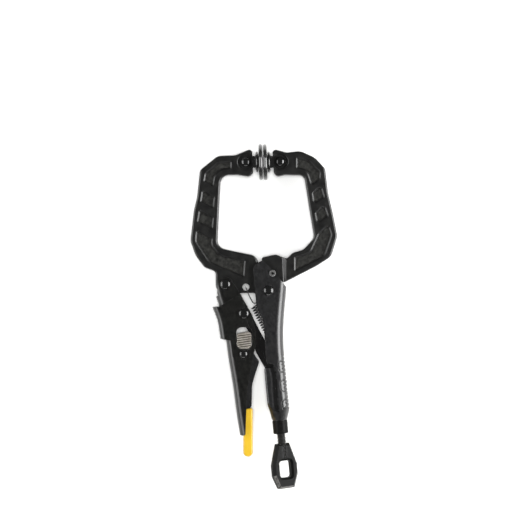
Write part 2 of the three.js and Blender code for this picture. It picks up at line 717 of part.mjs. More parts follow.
/** Six-sided loop with heavy chamfers; the rod sits in a slot in its neck. */
function loopHead() {
  const chamfer = 1.2;
  const outer = rounded([
    [-3.3, -HEAD_START - chamfer, 0.4],
    [3.3, -HEAD_START - chamfer, 0.4],
    [6.5, -52.0, 1.2],
    [6.5, -58.4, 1.2],
    [4.1, -HEAD_END + chamfer, 0.8],
    [-4.1, -HEAD_END + chamfer, 0.8],
    [-6.5, -58.4, 1.2],
    [-6.5, -52.0, 1.2],
  ]);
  outer.holes.push(new THREE.Path(rounded([
    [-3.7 - chamfer, -50.2 + chamfer, 2.0],
    [-3.7 - chamfer, -59.8 - chamfer, 2.0],
    [3.7 + chamfer, -59.8 - chamfer, 2.0],
    [3.7 + chamfer, -50.2 + chamfer, 2.0],
  ]).getPoints()));
  const depth = 2 * (HEAD_HALF - chamfer);
  const loop = new THREE.ExtrudeGeometry(outer, {
    depth, bevelEnabled: true, bevelThickness: chamfer, bevelSize: chamfer, bevelSegments: 1, curveSegments: 4,
  }).translate(0, 0, -depth / 2);
  const slot = new THREE.CylinderGeometry(SCREW_RADIUS + GAP, SCREW_RADIUS + GAP, 12, 24)
    .translate(0, -42.3, 0);
  const head = geometryOf(without(solid(loop), slot));
  return solid(ontoScrew(head.rotateY(HEAD_TURN)));
}

// ---------------------------------------------------------------- pins
function pin(centre, radius, half) {
  return roundBar(centre, radius, -half, half, 24);
}

// ---------------------------------------------------------------- the tool
const tool = new THREE.Group();
tool.position.z = MID_PLANE_Z;
tool.add(
  named("fixed_handle", fixedHandle(), satinSteel),
  named("fixed_jaw", fixedJaw(), castBlack),
  named("jaw_roll_pin", pin(ROLL_PIN, 1.6, HANDLE_HALF + 0.1), blackOxide),
  named("main_pivot_rivet", rivet(MAIN_PIVOT, HANDLE_HALF, 2.95, 1.9), glossBlack),
  named("spring_anchor_pin", pin(SPRING_ANCHOR, 1.5, ANCHOR_PIN_HALF), blackOxide),
  named("opening_spring", openingSpring(), blackOxide),
  named("thrust_tip", thrustTip(), blackOxide),
  named("adjusting_screw", adjustingScrew(), blackOxide),
  named("screw_loop_head", loopHead(), blackOxide),
  padAt("fixed_pad", FIXED_PAD_PIVOT, Math.PI + PAD_TILT),
  named("fixed_pad_rivet", rivet(FIXED_PAD_PIVOT, SPOTFACE_HALF, 2.8, 2.2), glossBlack),
  named("moving_jaw", movingJaw(), castBlack),
  padAt("moving_pad", MOVING_PAD_PIVOT, PAD_TILT),
  named("moving_pad_rivet", rivet(MOVING_PAD_PIVOT, SPOTFACE_HALF, 2.8, 2.2), glossBlack),
  named("toggle_rivet", rivet(TOGGLE_PIVOT, LEVER_HALF, 2.9, 1.6), glossBlack),
  named("lever_handle", leverHandle(), glossBlack),
  named("lock_cover", lockCover(), glossBlack),
  named("link_rivet", rivet(LINK_PIVOT, COVER_HALF, 2.9, 1.5), glossBlack),
  named("release_rivet", rivet(RELEASE_PIVOT, COVER_HALF, 2.3, 1.4), glossBlack),
  named("toggle_link", toggleLink(), glossBlack),
  named("release_lever", releaseLever(), glossBlack),
  named("release_grip", releaseGrip(), yellowVinyl),
  named("lock_slide", lockSlide(), nickel),
  named("slide_detent_spring", detentSpring(), blackOxide),
);

export default tool;
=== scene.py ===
"""Looks of the locking C-clamp pliers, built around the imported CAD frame.

Outlines and meshes are made in the tool's own axes, in millimetres, with its mid-plane at height 0.
piece() turns a finished mesh into metres and lifts it to its place in the frame.
"""

from math import acos, atan2, ceil, cos, degrees, pi, radians, sin, sqrt, tan

import bmesh
import bpy
from mathutils import Matrix, Vector


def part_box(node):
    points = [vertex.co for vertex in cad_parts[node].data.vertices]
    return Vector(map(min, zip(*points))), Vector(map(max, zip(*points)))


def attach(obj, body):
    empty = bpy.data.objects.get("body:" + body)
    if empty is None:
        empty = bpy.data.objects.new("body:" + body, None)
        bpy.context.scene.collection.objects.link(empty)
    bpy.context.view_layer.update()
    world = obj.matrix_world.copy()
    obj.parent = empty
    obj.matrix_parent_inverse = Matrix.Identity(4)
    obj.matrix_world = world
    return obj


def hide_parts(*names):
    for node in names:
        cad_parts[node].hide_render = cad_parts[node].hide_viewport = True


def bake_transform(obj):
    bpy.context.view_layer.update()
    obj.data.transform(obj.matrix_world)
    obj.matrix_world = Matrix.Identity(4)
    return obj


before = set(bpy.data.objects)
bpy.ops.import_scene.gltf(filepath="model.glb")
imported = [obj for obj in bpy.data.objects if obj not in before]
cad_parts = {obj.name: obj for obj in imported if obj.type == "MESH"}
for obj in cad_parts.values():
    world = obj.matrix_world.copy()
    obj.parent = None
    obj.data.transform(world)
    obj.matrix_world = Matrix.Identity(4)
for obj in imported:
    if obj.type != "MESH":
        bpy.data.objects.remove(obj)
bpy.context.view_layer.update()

MM = 0.001
MID_Z = 500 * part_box("fixed_pad")[1].z  # height of the mid-plane: half a pad's, in millimetres

# ---------------- dimensions shared with the CAD part
GAP = 0.3
JAW_HALF, FIXED_JAW_HALF, POCKET_DEPTH = 4.5, 5.2, 1.2
TIP_SLOT_HALF, SPOTFACE_RADIUS, SPOTFACE_HALF = 2.6, 4.9, 3.5
CHANNEL_HALF, HANDLE_SHEET, LEVER_SHEET, COVER_SHEET = 4.9, 1.6, 1.4, 1.3
HANDLE_HALF = CHANNEL_HALF + HANDLE_SHEET
LEVER_HALF = CHANNEL_HALF + LEVER_SHEET
COVER_INNER_HALF = LEVER_HALF + GAP
COVER_HALF = COVER_INNER_HALF + COVER_SHEET
LINK_HALF, RELEASE_HALF = 3.4, 3.0
MAIN_PIVOT, TOGGLE_PIVOT, LINK_PIVOT = (2.7, 14.7), (-21.8, 18.3), (-11.3, 1.7)
HEEL_CENTRE, RELEASE_PIVOT, ROLL_PIN = (6.6, -32.3), (-11.5, -21.2), (5.0, 24.5)
SPRING_HOLE, SPRING_HOLE_RADIUS, SPRING_ANCHOR = (-10.2, 16.6), 2.0, (6.5, -15.4)
MOVING_PAD_PIVOT, FIXED_PAD_PIVOT = (-10.25, 87.75), (9.25, 88.05)
PAD_TILT = radians(1.5)
PAD_RADIUS, PAD_FACE, PAD_THICKNESS, NECK_RADIUS = 10.4, 9.45, 2.0, 4.6
RING_START, RING_END, RING_RADIUS = 5.6, 6.9, 5.9
RIVET_SHANK, HUB_RADIUS = 1.6, 7.5
RIVET_HOLE = RIVET_SHANK + GAP
ROLL_PIN_RADIUS = 1.6
SCREW_TILT = radians(5.3)
THREAD_CREST, THREAD_ROOT, THREAD_PITCH = 2.5, 2.02, 0.8
SCREW_START, SCREW_END = 10.0, 48.0
COLLAR_START, COLLAR_END, COLLAR_RADIUS = 27.0, 34.6, 4.3
HEAD_START, HEAD_END, HEAD_TURN, HEAD_HALF = 40.3, 65.94, radians(28), 2.6
BLADE_TOP, BLADE_LEFT, BLADE_RIGHT, BLADE_END = -51.0, -10.5, -7.5, -76.4
PAST_JAW, PAST_HANDLE = 6, 10  # half lengths of cutters that pass right through a jaw or a handle

# ---------------- outlines and meshes, in millimetres


def rounded(corners, step=7.0):
    """Closed counter-clockwise outline through corners (x, y, radius), with arcs of at most step degrees."""
    count = len(corners)
    points = [Vector(c[:2]) for c in corners]
    bends = []
    for i, corner in enumerate(corners):
        back = points[i - 1] - points[i]
        ahead = points[(i + 1) % count] - points[i]
        edge = ahead.length
        back.normalize()
        ahead.normalize()
        half = acos(max(-1.0, min(1.0, back.dot(ahead)))) / 2
        radius = corner[2] if len(corner) > 2 else 0.0
        reach = 0.0 if half > 1.54 else radius / tan(half)
        bends.append((points[i], back, ahead, edge, half, reach))

    def room(one, other):
        return min(1.0, 0.98 * one[3] / max(one[5] + other[5], 1e-9))

    out = []
    for i, (here, back, ahead, _, half, reach) in enumerate(bends):
        length = reach * min(room(bends[i], bends[(i + 1) % count]), room(bends[i - 1], bends[i]))
        if length < 1e-3:
            out.append(here.copy())
            continue
        radius = length * tan(half)
        centre = here + (back + ahead).normalized() * (radius / sin(half))
        first = here + back * length - centre
        turn = (-1 if back.x * ahead.y - back.y * ahead.x > 0 else 1) * (pi - 2 * half)
        steps = max(1, ceil(abs(degrees(turn)) / step))
        for k in range(steps + 1):
            c, s = cos(turn * k / steps), sin(turn * k / steps)
            out.append(centre + Vector((c * first.x - s * first.y, s * first.x + c * first.y)))
    area = sum(a.x * b.y - a.y * b.x for a, b in zip(out, out[1:] + out[:1]))
    return out if area > 0 else out[::-1]


def circle(centre, radius, sides):
    turn = 2 * pi / sides
    return [Vector((centre[0] + radius * cos(turn * k), centre[1] + radius * sin(turn * k)))
            for k in range(sides)]


def arc(centre, radius, start, end, steps):
    angles = [radians(start + (end - start) * k / steps) for k in range(steps + 1)]
    return [(centre[0] + radius * cos(a), centre[1] + radius * sin(a)) for a in angles]


def inset(outline, distance):
    """The outline moved inwards by a distance; outwards when it is negative."""
    out = []
    for i, point in enumerate(outline):
        before = (point - outline[i - 1]).normalized()
        after = (outline[(i + 1) % len(outline)] - point).normalized()
        one, two = Vector((-before.y, before.x)), Vector((-after.y, after.x))
        out.append(point + (one + two) * (distance / max(0.4, 1 + one.dot(two))))
    return out


def spline(points, per_span):
    """Points along a centripetal Catmull-Rom curve through the given ones."""
    knots = [Vector(p) for p in points]
    knots = [2 * knots[0] - knots[1], *knots, 2 * knots[-1] - knots[-2]]
    out = []
    for i in range(1, len(knots) - 2):
        a, b, c, d = knots[i - 1:i + 3]
        t1 = sqrt((b - a).length)
        t2 = t1 + sqrt((c - b).length)
        t3 = t2 + sqrt((d - c).length)
        for k in range(per_span):
            t = t1 + (t2 - t1) * k / per_span
            ab = a.lerp(b, t / t1)
            bc = b.lerp(c, (t - t1) / (t2 - t1))
            cd = c.lerp(d, (t - t2) / (t3 - t2))
            late = bc.lerp(cd, (t - t1) / (t3 - t1))
            out.append(ab.lerp(bc, t / t2).lerp(late, (t - t1) / (t2 - t1)))
    return out + [knots[-2]]


def placed(name, data):
    """New object of the scene that shows some data."""
    obj = bpy.data.objects.new(name, data)
    bpy.context.scene.collection.objects.link(obj)
    return obj


def mesh_object(verts, faces, name):
    mesh = bpy.data.meshes.new(name)
    mesh.from_pydata([tuple(v) for v in verts], [], faces)
    return placed(name, mesh)


def closed_object(verts, faces):
    """Object with a closed mesh, whose faces are made to point out."""
    obj = mesh_object(verts, faces, "work")
    bm = bmesh.new()
    bm.from_mesh(obj.data)
    if bm.calc_volume(signed=True) < 0:
        bmesh.ops.reverse_faces(bm, faces=bm.faces)
    bm.to_mesh(obj.data)
    bm.free()
    return obj


def lofted(rings, loop=False):
    """Closed skin over rings of equal length. A loop joins the last ring to the first; without it both
    ends get a cap."""
    sides = len(rings[0])
    verts = [p for ring in rings for p in ring]
    faces = []
    for j in range(len(rings) if loop else len(rings) - 1):
        low, high = j * sides, (j + 1) % len(rings) * sides
        for i in range(sides):
            k = (i + 1) % sides
            faces.append((low + i, low + k, high + k, high + i))
    if not loop:
        faces.append(tuple(range(sides - 1, -1, -1)))
        faces.append(tuple(range((len(rings) - 1) * sides, len(rings) * sides)))
    return closed_object(verts, faces)


def prism(outline, low, high):
    return lofted([[(p.x, p.y, low) for p in outline], [(p.x, p.y, high) for p in outline]])


def plate(outline, half):
    """Prism that reaches as far above the mid-plane as below it."""
    return prism(outline, -half, half)


def bar(centre, radius, half, sides=48):
    """Round bar across the tool, as long above the mid-plane as below it."""
    return plate(circle(centre, radius, sides), half)


def turned(profile, sides, place):
    """Solid of revolution about local +Y through profile points (radius, y), put in its place by a
    function of each point. Both ends of the profile lie on the axis."""
    verts, faces, rings = [], [], []
    for radius, y in profile:
        if radius < 1e-6:
            rings.append([len(verts)])
            verts.append(place(Vector((0, y, 0))))
        else:
            rings.append(list(range(len(verts), len(verts) + sides)))
            for k in range(sides):
                a = 2 * pi * k / sides
                verts.append(place(Vector((radius * cos(a), y, radius * sin(a)))))
    for low, high in zip(rings, rings[1:]):
        for k in range(sides):
            n = (k + 1) % sides
            if len(low) == 1 and len(high) > 1:
                faces.append((low[0], high[n], high[k]))
            elif len(high) == 1 and len(low) > 1:
                faces.append((low[k], low[n], high[0]))
            elif len(low) > 1:
                faces.append((low[k], low[n], high[n], high[k]))
    return closed_object(verts, faces)


def spun(x, y, angle, centre):
    """Place in the tool's axes of a point given from a centre, in axes turned by an angle."""
    c, s = cos(angle), sin(angle)
    return centre[0] + c * x - s * y, centre[1] + s * x + c * y


def on_screw(v):
    """From the screw's own axes (its length along -Y) to the tool's."""
    return Vector((*spun(v.x, v.y, SCREW_TILT, HEEL_CENTRE), v.z))


def off_screw(v):
    """From the tool's axes to the screw's own."""
    c, s = cos(SCREW_TILT), sin(SCREW_TILT)
    x, y = v.x - HEEL_CENTRE[0], v.y - HEEL_CENTRE[1]
    return Vector((c * x + s * y, c * y - s * x, v.z))


def turned_on_screw(profile, sides):
    """Solid of revolution about the screw's axis, through points (radius, distance along the screw)."""
    return turned([(radius, -s) for radius, s in profile], sides, on_screw)


def heading(path, i):
    """Direction of a path at one of its points."""
    return (path[min(i + 1, len(path) - 1)] - path[max(i - 1, 0)]).normalized()


def backed_bar(spine, side, depth, half, radius, reach, lean=(0.0, 0.0)):
    """Bar swept along a plane curve, with a rounded back that lies depth beside it.

    side is +1 for material on the left of +Y travel; half is half the bar's width and radius its bends'.
    lean is how much the back is narrower on each side, and over what length."""
    back = half - lean[0]
    slopes = [(half, depth + lean[1], 6.0)] if lean[0] else []
    section = rounded([(-back, depth, radius), (back, depth, radius), *slopes, (half, reach), (-half, reach),
                       *((-x, y, r) for x, y, r in slopes)], 7.5)
    path = spline(spine, 10)
    rings = []
    for i, point in enumerate(path):
        along = heading(path, i)
        across = Vector((-along.y, along.x)) * side
        rings.append([(*(point + across * q.y), q.x) for q in section])
    return lofted(rings)


def combine(one, other, operation):
    """Boolean of two closed meshes; the second is used up."""
    modifier = one.modifiers.new("combine", "BOOLEAN")
    modifier.operation = operation
    modifier.solver = "MANIFOLD"
    modifier.object = other
    graph = bpy.context.evaluated_depsgraph_get()
    graph.update()
    made = bpy.data.meshes.new_from_object(one.evaluated_get(graph))
    one.modifiers.clear()
    one.data = made
    bpy.data.objects.remove(other)
    return one


def cut(body, *tools):
    for tool in tools:
        combine(body, tool, "DIFFERENCE")
    return body


def join(body, *others):
    for other in others:
        combine(body, other, "UNION")
    return body


def tube(points, radius, sides):
    """Round wire along 3-D points, with a frame carried smoothly along it."""
    points = [Vector(p) for p in points]
    rings, across = [], None
    for i, point in enumerate(points):
        along = heading(points, i)
        if across is None:
            across = along.orthogonal().normalized()
        across = (across - along * across.dot(along)).normalized()
        other = along.cross(across)
        ring = []
        for k in range(sides):
            a = 2 * pi * k / sides
            ring.append(point + (across * cos(a) + other * sin(a)) * radius)
        rings.append(ring)
    return lofted(rings)


# ---------------- materials


def nodes_of(name):
    material = bpy.data.materials.new(name)
    material.use_nodes = True
    tree = material.node_tree
    return material, tree, tree.nodes["Principled BSDF"]


def add(tree, kind, **values):
    node = tree.nodes.new(kind)
    for key, value in values.items():
        setattr(node, key, value)
    return node


def settle(node, values):
    """Set a node's inputs to constants."""
    for name, value in values.items():
        node.inputs[name].default_value = value


def noise_at(tree, coordinates, scale, detail=4.0, roughness=0.55, stretch=None):
    node = add(tree, "ShaderNodeTexNoise")
    settle(node, {"Scale": scale, "Detail": detail, "Roughness": roughness})
    if stretch:
        mapping = add(tree, "ShaderNodeMapping")
        settle(mapping, {"Scale": stretch})
        tree.links.new(coordinates, mapping.inputs["Vector"])
        coordinates = mapping.outputs["Vector"]
    tree.links.new(coordinates, node.inputs["Vector"])
    return node.outputs["Fac"]


def ramp(tree, factor, stops):
    node = add(tree, "ShaderNodeValToRGB")
    elements = node.color_ramp.elements
    for element, (place, colour) in zip(elements, stops):
        element.position = place
        element.color = (*colour, 1)
    tree.links.new(factor, node.inputs["Fac"])
    return node.outputs["Color"]


def mixed(tree, kind, factor, one, other):
    """Blend of two colours. The factor and the colours are outputs of other nodes or constants."""
    node = add(tree, "ShaderNodeMixRGB", blend_type=kind)
    for name, value in (("Fac", factor), ("Color1", one), ("Color2", other)):
        if isinstance(value, bpy.types.NodeSocket):
            tree.links.new(value, node.inputs[name])
        else:
            node.inputs[name].default_value = value
    return node.outputs["Color"]


def openness(tree, reach, inside):
    """How open the surface is within reach: low in hollows or, seen from inside, low along edges."""
    node = add(tree, "ShaderNodeAmbientOcclusion", samples=8, inside=inside, only_local=True)
    settle(node, {"Distance": reach})
    return node.outputs["AO"]


def bumped(tree, height, distance, normal=None):
    node = add(tree, "ShaderNodeBump")
    settle(node, {"Strength": 1.0, "Distance": distance})
    tree.links.new(height, node.inputs["Height"])
    if normal:
        tree.links.new(normal, node.inputs["Normal"])
    return node.outputs["Normal"]


def grey(value):
    return (value, value, value)


def worn(tree, colour, spots, reach, strength, bare):
    """The colour with a bare one showing in spots along the edges."""
    edge = ramp(tree, openness(tree, reach, True), [(0.52, grey(strength)), (0.80, grey(0))])
    patches = ramp(tree, spots, [(0.42, grey(0.1)), (0.62, grey(1))])
    return mixed(tree, "MIX", mixed(tree, "MULTIPLY", 1, edge, patches), colour, (*bare, 1))


def paint_hollow_shade(tree, colour, reach):
    """The colour with painted shade: darker in the hollows that ambient occlusion finds."""
    shade = ramp(tree, openness(tree, reach, False), [(0.45, grey(0.10)), (0.90, grey(1))])
    return mixed(tree, "MULTIPLY", 1, colour, shade)


def finish_material(name, dark, light, rough, metallic, grain, bump, coat=0.0, wear=None, stretch=None,
                    specular=0.5, hollow_shade=0.0):
    """Finish with uneven colour and roughness, a fine grain in the bump, lighter worn edges and, where asked,
    painted shade in the hollows.

    grain is (fine scale, coarse scale) per metre; bump is (fine, coarse) height in metres;
    wear is (reach from an edge in metres, strength, bare colour); hollow_shade is how far the painted shade
    reaches into a hollow."""
    material, tree, shader = nodes_of(name)
    place = add(tree, "ShaderNodeTexCoord").outputs["Object"]
    coarse = noise_at(tree, place, grain[1], 5.0)
    fine = noise_at(tree, place, grain[0], 3.0, 0.6, stretch)
    colour = ramp(tree, coarse, [(0.3, dark), (0.72, light)])
    if wear:
        colour = worn(tree, colour, fine, *wear)
    if hollow_shade:
        colour = paint_hollow_shade(tree, colour, hollow_shade)
    patches = ramp(tree, coarse, [(0.3, grey(rough[0])), (0.7, grey(rough[1]))])
    normal = bumped(tree, fine, bump[0], bumped(tree, coarse, bump[1]))
    for source, socket in ((colour, "Base Color"), (patches, "Roughness"), (normal, "Normal")):
        tree.links.new(source, shader.inputs[socket])
    settle(shader, {"Metallic": metallic, "Specular IOR Level": specular, "Coat Weight": coat,
                    "Coat Roughness": 0.15})
    return material


cast_black = finish_material(
    "cast_black", grey(0.0035), (0.0075, 0.0075, 0.007), (0.34, 0.46), 0.0,
    (1400, 260), (0.00004, 0.00004), coat=0.08, wear=(0.0006, 0.5, grey(0.06)))
cast_grain = finish_material(
    "cast_grain", grey(0.002), (0.024, 0.024, 0.0215), (0.34, 0.50), 0.0,
    (1500, 700), (0.00014, 0.00012))
forged_black = finish_material(
    "forged_black", grey(0.002), (0.0065, 0.0065, 0.006), (0.34, 0.46), 0.0,
    (1700, 500), (0.00006, 0.00008), wear=(0.0007, 0.25, grey(0.08)),
    specular=0.08)
# Lighter finish for the loop head's upward chamfers: a painted highlight.
facet_highlight = finish_material(
    "facet_highlight", grey(0.02), (0.16, 0.155, 0.145), (0.26, 0.40), 0.0,
    (1900, 900), (0.00004, 0.00006))
# Handle finish; its last argument paints shade into the hollows and grooves.
satin_black = finish_material(
    "satin_black", (0.0015, 0.0015, 0.0017), (0.0165, 0.0165, 0.0170),
    (0.29, 0.37), 0.0, (1500, 800), (0.000015, 0.00001), coat=0.3,
    wear=(0.0004, 0.4, grey(0.08)), specular=0.6, hollow_shade=0.004)
enamel_black = finish_material(
    "enamel_black", grey(0.0008), (0.0085, 0.0085, 0.0075), (0.28, 0.36), 0.0,
    (1500, 750), (0.00001, 0.00001), coat=0.2, wear=(0.0004, 0.5, grey(0.08)))
rivet_black = finish_material(
    "rivet_black", grey(0.003), grey(0.006), (0.13, 0.19), 0.0,
    (1800, 300), (0.000006, 0.00001), coat=0.5, specular=0.6)
oxide_black = finish_material(
    "oxide_black", grey(0.010), (0.022, 0.021, 0.020), (0.26, 0.38), 0.3,
    (2400, 400), (0.00002, 0.00001), wear=(0.0003, 0.6, (0.16, 0.155, 0.145)))
turned_black = finish_material(
    "turned_black", grey(0.008), grey(0.016), (0.18, 0.26), 0.0,
    (2400, 400), (0.000004, 0.000004), coat=0.7, wear=(0.0003, 0.4, grey(0.12)),
    specular=0.6)
# Roll pin finish; its last argument paints shade into the pin's recess.
pin_steel = finish_material(
    "pin_steel", grey(0.07), (0.13, 0.13, 0.125), (0.35, 0.50), 0.3,
    (2400, 400), (0.00002, 0.00001), wear=(0.0003, 0.6, grey(0.3)), hollow_shade=0.0025)
# Slide finish; its last argument paints shade into the gaps between the ribs.
worn_nickel = finish_material(
    "worn_nickel", (0.24, 0.215, 0.18), (0.46, 0.43, 0.385), (0.30, 0.46), 0.5,
    (1600, 420), (0.00002, 0.00002), wear=(0.0004, 0.8, (0.80, 0.77, 0.72)),
    stretch=(0.15, 1.0, 1.0), hollow_shade=0.0009)
vinyl_coat = finish_material(
    "vinyl_coat", (0.49, 0.310, 0.016), (0.55, 0.350, 0.024), (0.30, 0.42), 0.0,
    (1900, 200), (0.00001, 0.00004), coat=0.15)
settle(vinyl_coat.node_tree.nodes["Principled BSDF"], {"Subsurface Weight": 0.08, "Subsurface Scale": 0.002})

# ---------------- finishing a piece


def soften(obj, width, segments, angle):
    """Rounded edges, where a width is given, and clean shading."""
    if width:
        bevel = obj.modifiers.new("edges", "BEVEL")
        bevel.width = width * MM
        bevel.segments = segments
        bevel.limit_method = "ANGLE"
        bevel.angle_limit = radians(angle)
        bevel.miter_outer = "MITER_ARC"
    normal = obj.modifiers.new("normals", "WEIGHTED_NORMAL")
    normal.keep_sharp = True
    normal.weight = 60


def clean_up(bm):
    """Merge the tiny edges that booleans leave, delete loose faces and edges, and join flat faces."""
    bmesh.ops.remove_doubles(bm, verts=bm.verts, dist=0.012)
    loose = [face for face in bm.faces if all(edge.is_boundary for edge in face.edges)]
    bmesh.ops.delete(bm, geom=loose, context="FACES")
    bmesh.ops.delete(bm, geom=[edge for edge in bm.edges if edge.is_wire], context="EDGES")
    bmesh.ops.dissolve_limit(bm, angle_limit=radians(0.15), verts=bm.verts, edges=bm.edges,
                             delimit={"NORMAL"})


def piece(obj, name, body, material, node, width=0.0, segments=2, sharp=38, clean=True):
    """Give a finished millimetre mesh its place, name and finish, and the body it rides on (None leaves it
    unattached). It replaces a CAD node, which it hides."""
    bm = bmesh.new()
    bm.from_mesh(obj.data)
    if clean:
        clean_up(bm)
    bmesh.ops.transform(bm, matrix=Matrix.Scale(MM, 4) @ Matrix.Translation((0, 0, MID_Z)), verts=bm.verts)
    bm.to_mesh(obj.data)
    bm.free()
    obj.name = obj.data.name = name
    obj.data.materials.clear()
    obj.data.materials.append(material)
    obj.data.polygons.foreach_set("use_smooth", [True] * len(obj.data.polygons))
    obj.data.polygons.foreach_set("material_index", [0] * len(obj.data.polygons))
    if not width:
        obj.data.set_sharp_from_angle(angle=radians(sharp))
    soften(obj, width, segments, sharp)
    if body:
        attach(obj, body)
    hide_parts(node)


def keep_node(name, material, width):
    """A CAD node shown as it is, with softened edges and a finish."""
    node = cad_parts[name]
    node.data.materials.clear()
    node.data.materials.append(material)
    weld = node.modifiers.new("weld", "WELD")
    weld.merge_threshold = 0.00001
    flat = node.modifiers.new("flat", "DECIMATE")
    flat.decimate_type = "DISSOLVE"
    flat.angle_limit = radians(1)
    soften(node, width, 2, 30)


def repaint(obj, material, chosen):
    """Another finish for the faces that a test of their centre (mm from the mid-plane) and normal picks."""
    obj.data.materials.append(material)
    for face in obj.data.polygons:
        if chosen(face.center / MM - Vector((0, 0, MID_Z)), face.normal):
            face.material_index = len(obj.data.materials) - 1


def grained(obj, level):
    """Grainy finish on the faces that lie flat at a height above or below the mid-plane."""

    def on_floor(centre, normal):
        return abs(normal.z) > 0.99 and abs(abs(centre.z) - level) < 0.03

    repaint(obj, cast_grain, on_floor)


# ---------------- jaws
MOVING_JAW = [
    (-6.6, 94.9, 2.2), (-8.6, 94.9, 2.0), (-16.4, 91.7, 6.0), (-26.2, 91.4, 6.0), (-36.4, 83.2, 4.0),
    (-38.0, 68.0, 12.0), (-39.9, 60.0, 20.0), (-41.84, 42.8, 8.0), (-38.9, 34.6, 14.0), (-33.8, 27.8, 4.0),
    (-27.4, 25.4, 2.4), (-27.4, 12.7, 5.5), (-16.4, 12.7, 4.0), (-13.0, 13.2, 3.0), (-4.9, 13.2, 1.2),
    (-4.8, 7.2, 6.9), (10.2, 7.2, 7.4), (10.2, 22.2, 7.4), (1.0, 22.2, 3.0), (-2.9, 25.0, 3.0),
    (-3.6, 34.4, 5.0), (-16.3, 37.0, 10.0), (-26.4, 39.3, 5.0), (-25.6, 57.0, 60.0), (-24.4, 80.2, 5.0),
    (-15.0, 80.4, 3.0), (-8.4, 79.3, 2.2), (-6.0, 81.4, 2.4),
]
MOVING_POCKETS = [
    [(-18.2, 88.4, 1.2), (-25.8, 88.2, 4), (-33.6, 81.4, 3), (-34.4, 76.6, 1.2), (-28.6, 73.0, 1.4),
     (-27.4, 80.0, 4), (-23.0, 83.2, 3), (-18.2, 83.4, 1.2)],
    [(-35.1, 72.6, 1.4), (-36.3, 65.0, 1.4), (-28.4, 60.4, 1.4), (-27.6, 67.9, 1.4)],
    [(-36.8, 61.4, 1.4), (-38.1, 53.6, 1.4), (-29.0, 48.6, 1.4), (-28.2, 56.3, 1.4)],
    [(-38.5, 49.8, 1.4), (-39.2, 42.6, 4), (-31.4, 30.6, 5), (-24.0, 27.0, 2), (-11.0, 21.8, 1.2),
     (-10.2, 32.2, 1.2), (-25.0, 35.5, 4), (-29.2, 40.8, 4), (-28.8, 44.4, 1.4)],
]
FIXED_JAW = [
    (4.8, 94.9, 2.0), (7.2, 94.8, 3.0), (13.0, 93.2, 5.0), (20.8, 94.2, 9.0), (29.0, 90.4, 9.0),
    (35.0, 84.0, 4.0), (36.6, 70.4, 14.0), (39.6, 57.4, 40.0), (41.9, 45.6, 6.0), (38.4, 34.0, 7.0),
    (30.0, 28.6, 20.0), (15.8, 21.3, 1.5), (12.4, 19.6, 1.0), *arc(MAIN_PIVOT, HUB_RADIUS + 0.8, 32, 98, 12),
    (0.2, 24.4, 1.0), (-0.9, 27.0, 2.0), (-1.2, 33.6, 1.4), (6.8, 35.3, 4.0), (13.0, 32.9, 1.6),
    (16.4, 36.2, 3.0), (22.4, 38.0, 5.0), (28.6, 44.6, 5.0), (25.6, 62.6, 30.0), (22.9, 80.1, 3.5),
    (12.0, 80.4, 3.0), (7.4, 79.3, 2.2), (5.7, 81.5, 2.6),
]
FIXED_POCKETS = [
    [(18.3, 90.9, 1.2), (25.6, 89.4, 5), (32.6, 82.0, 3), (32.4, 77.6, 3), (27.0, 73.6, 1.6),
     (24.2, 82.4, 4), (18.3, 84.0, 1.2)],
    [(27.2, 70.2, 2), (32.6, 75.6, 2), (35.0, 67.6, 2), (28.2, 62.6, 2)],
    [(28.8, 58.8, 2), (34.6, 64.6, 2), (37.2, 56.8, 2), (30.2, 51.6, 2)],
    [(30.8, 47.4, 3), (36.8, 53.4, 2), (39.2, 46.4, 5), (34.8, 33.8, 6), (17.2, 24.6, 1.2),
     (17.2, 34.0, 1.2), (26.0, 36.8, 4)],
]


# Each row is (distance inwards from the outline, depth below the face).
CAST_RIM = [(0.15, 0.90), (0.21, 0.62), (0.34, 0.42), (0.94, 0.06), (1.10, 0.0)]
POCKET_WALL = [(1.15, POCKET_DEPTH), (1.02, 0.97), (0.95, 0.70), (0.85, 0.51), (0.20, 0.12), (0.10, 0.04),
               (-0.1, -0.05), (-0.3, -0.8)]


def stepped(outline, rows, face, half):
    """Rings that follow rows of (inset, depth) below the upper face (1) or the lower one (-1)."""
    return [[(p.x, p.y, face * (half - depth)) for p in inset(outline, into)] for into, depth in rows]


def cast_plate(corners, panels, half):
    """Cast plate with drafted sides, broken rims and sunk panels with sloping walls on both faces."""
    outline = rounded(corners, 8)
    middle = [(p.x, p.y, 0) for p in outline]
    body = lofted([*stepped(outline, CAST_RIM[::-1], -1, half), middle, *stepped(outline, CAST_RIM, 1, half)])
    for panel in panels:
        shape = rounded(panel, 12)
        for face in (1, -1):
            cut(body, lofted(stepped(shape, POCKET_WALL, face, half)))
    return body


def pad_fork(centre, half, towards):
    """Cutters for the fork at a jaw's tip: a slot open towards the pad (1 is +X) and seats for the rivet."""
    x, y = centre
    back, front, side = x - towards * 4.3, x + towards * 9, 5.0
    slot = rounded([(back, y - side, 3.5), (back, y + side, 3.5), (front, y + side), (front, y - side)])
    levels = [(SPOTFACE_RADIUS - 0.5, SPOTFACE_HALF), (SPOTFACE_RADIUS - 0.3, half - 0.38),
              (SPOTFACE_RADIUS + 0.4, half + 0.03), (SPOTFACE_RADIUS + 0.5, half + 1)]
    seats = [lofted([[(p.x, p.y, face * z) for p in circle(centre, radius, 72)] for radius, z in levels])
             for face in (1, -1)]
    return [plate(slot, TIP_SLOT_HALF), *seats, bar(centre, RIVET_HOLE, half, 32)]


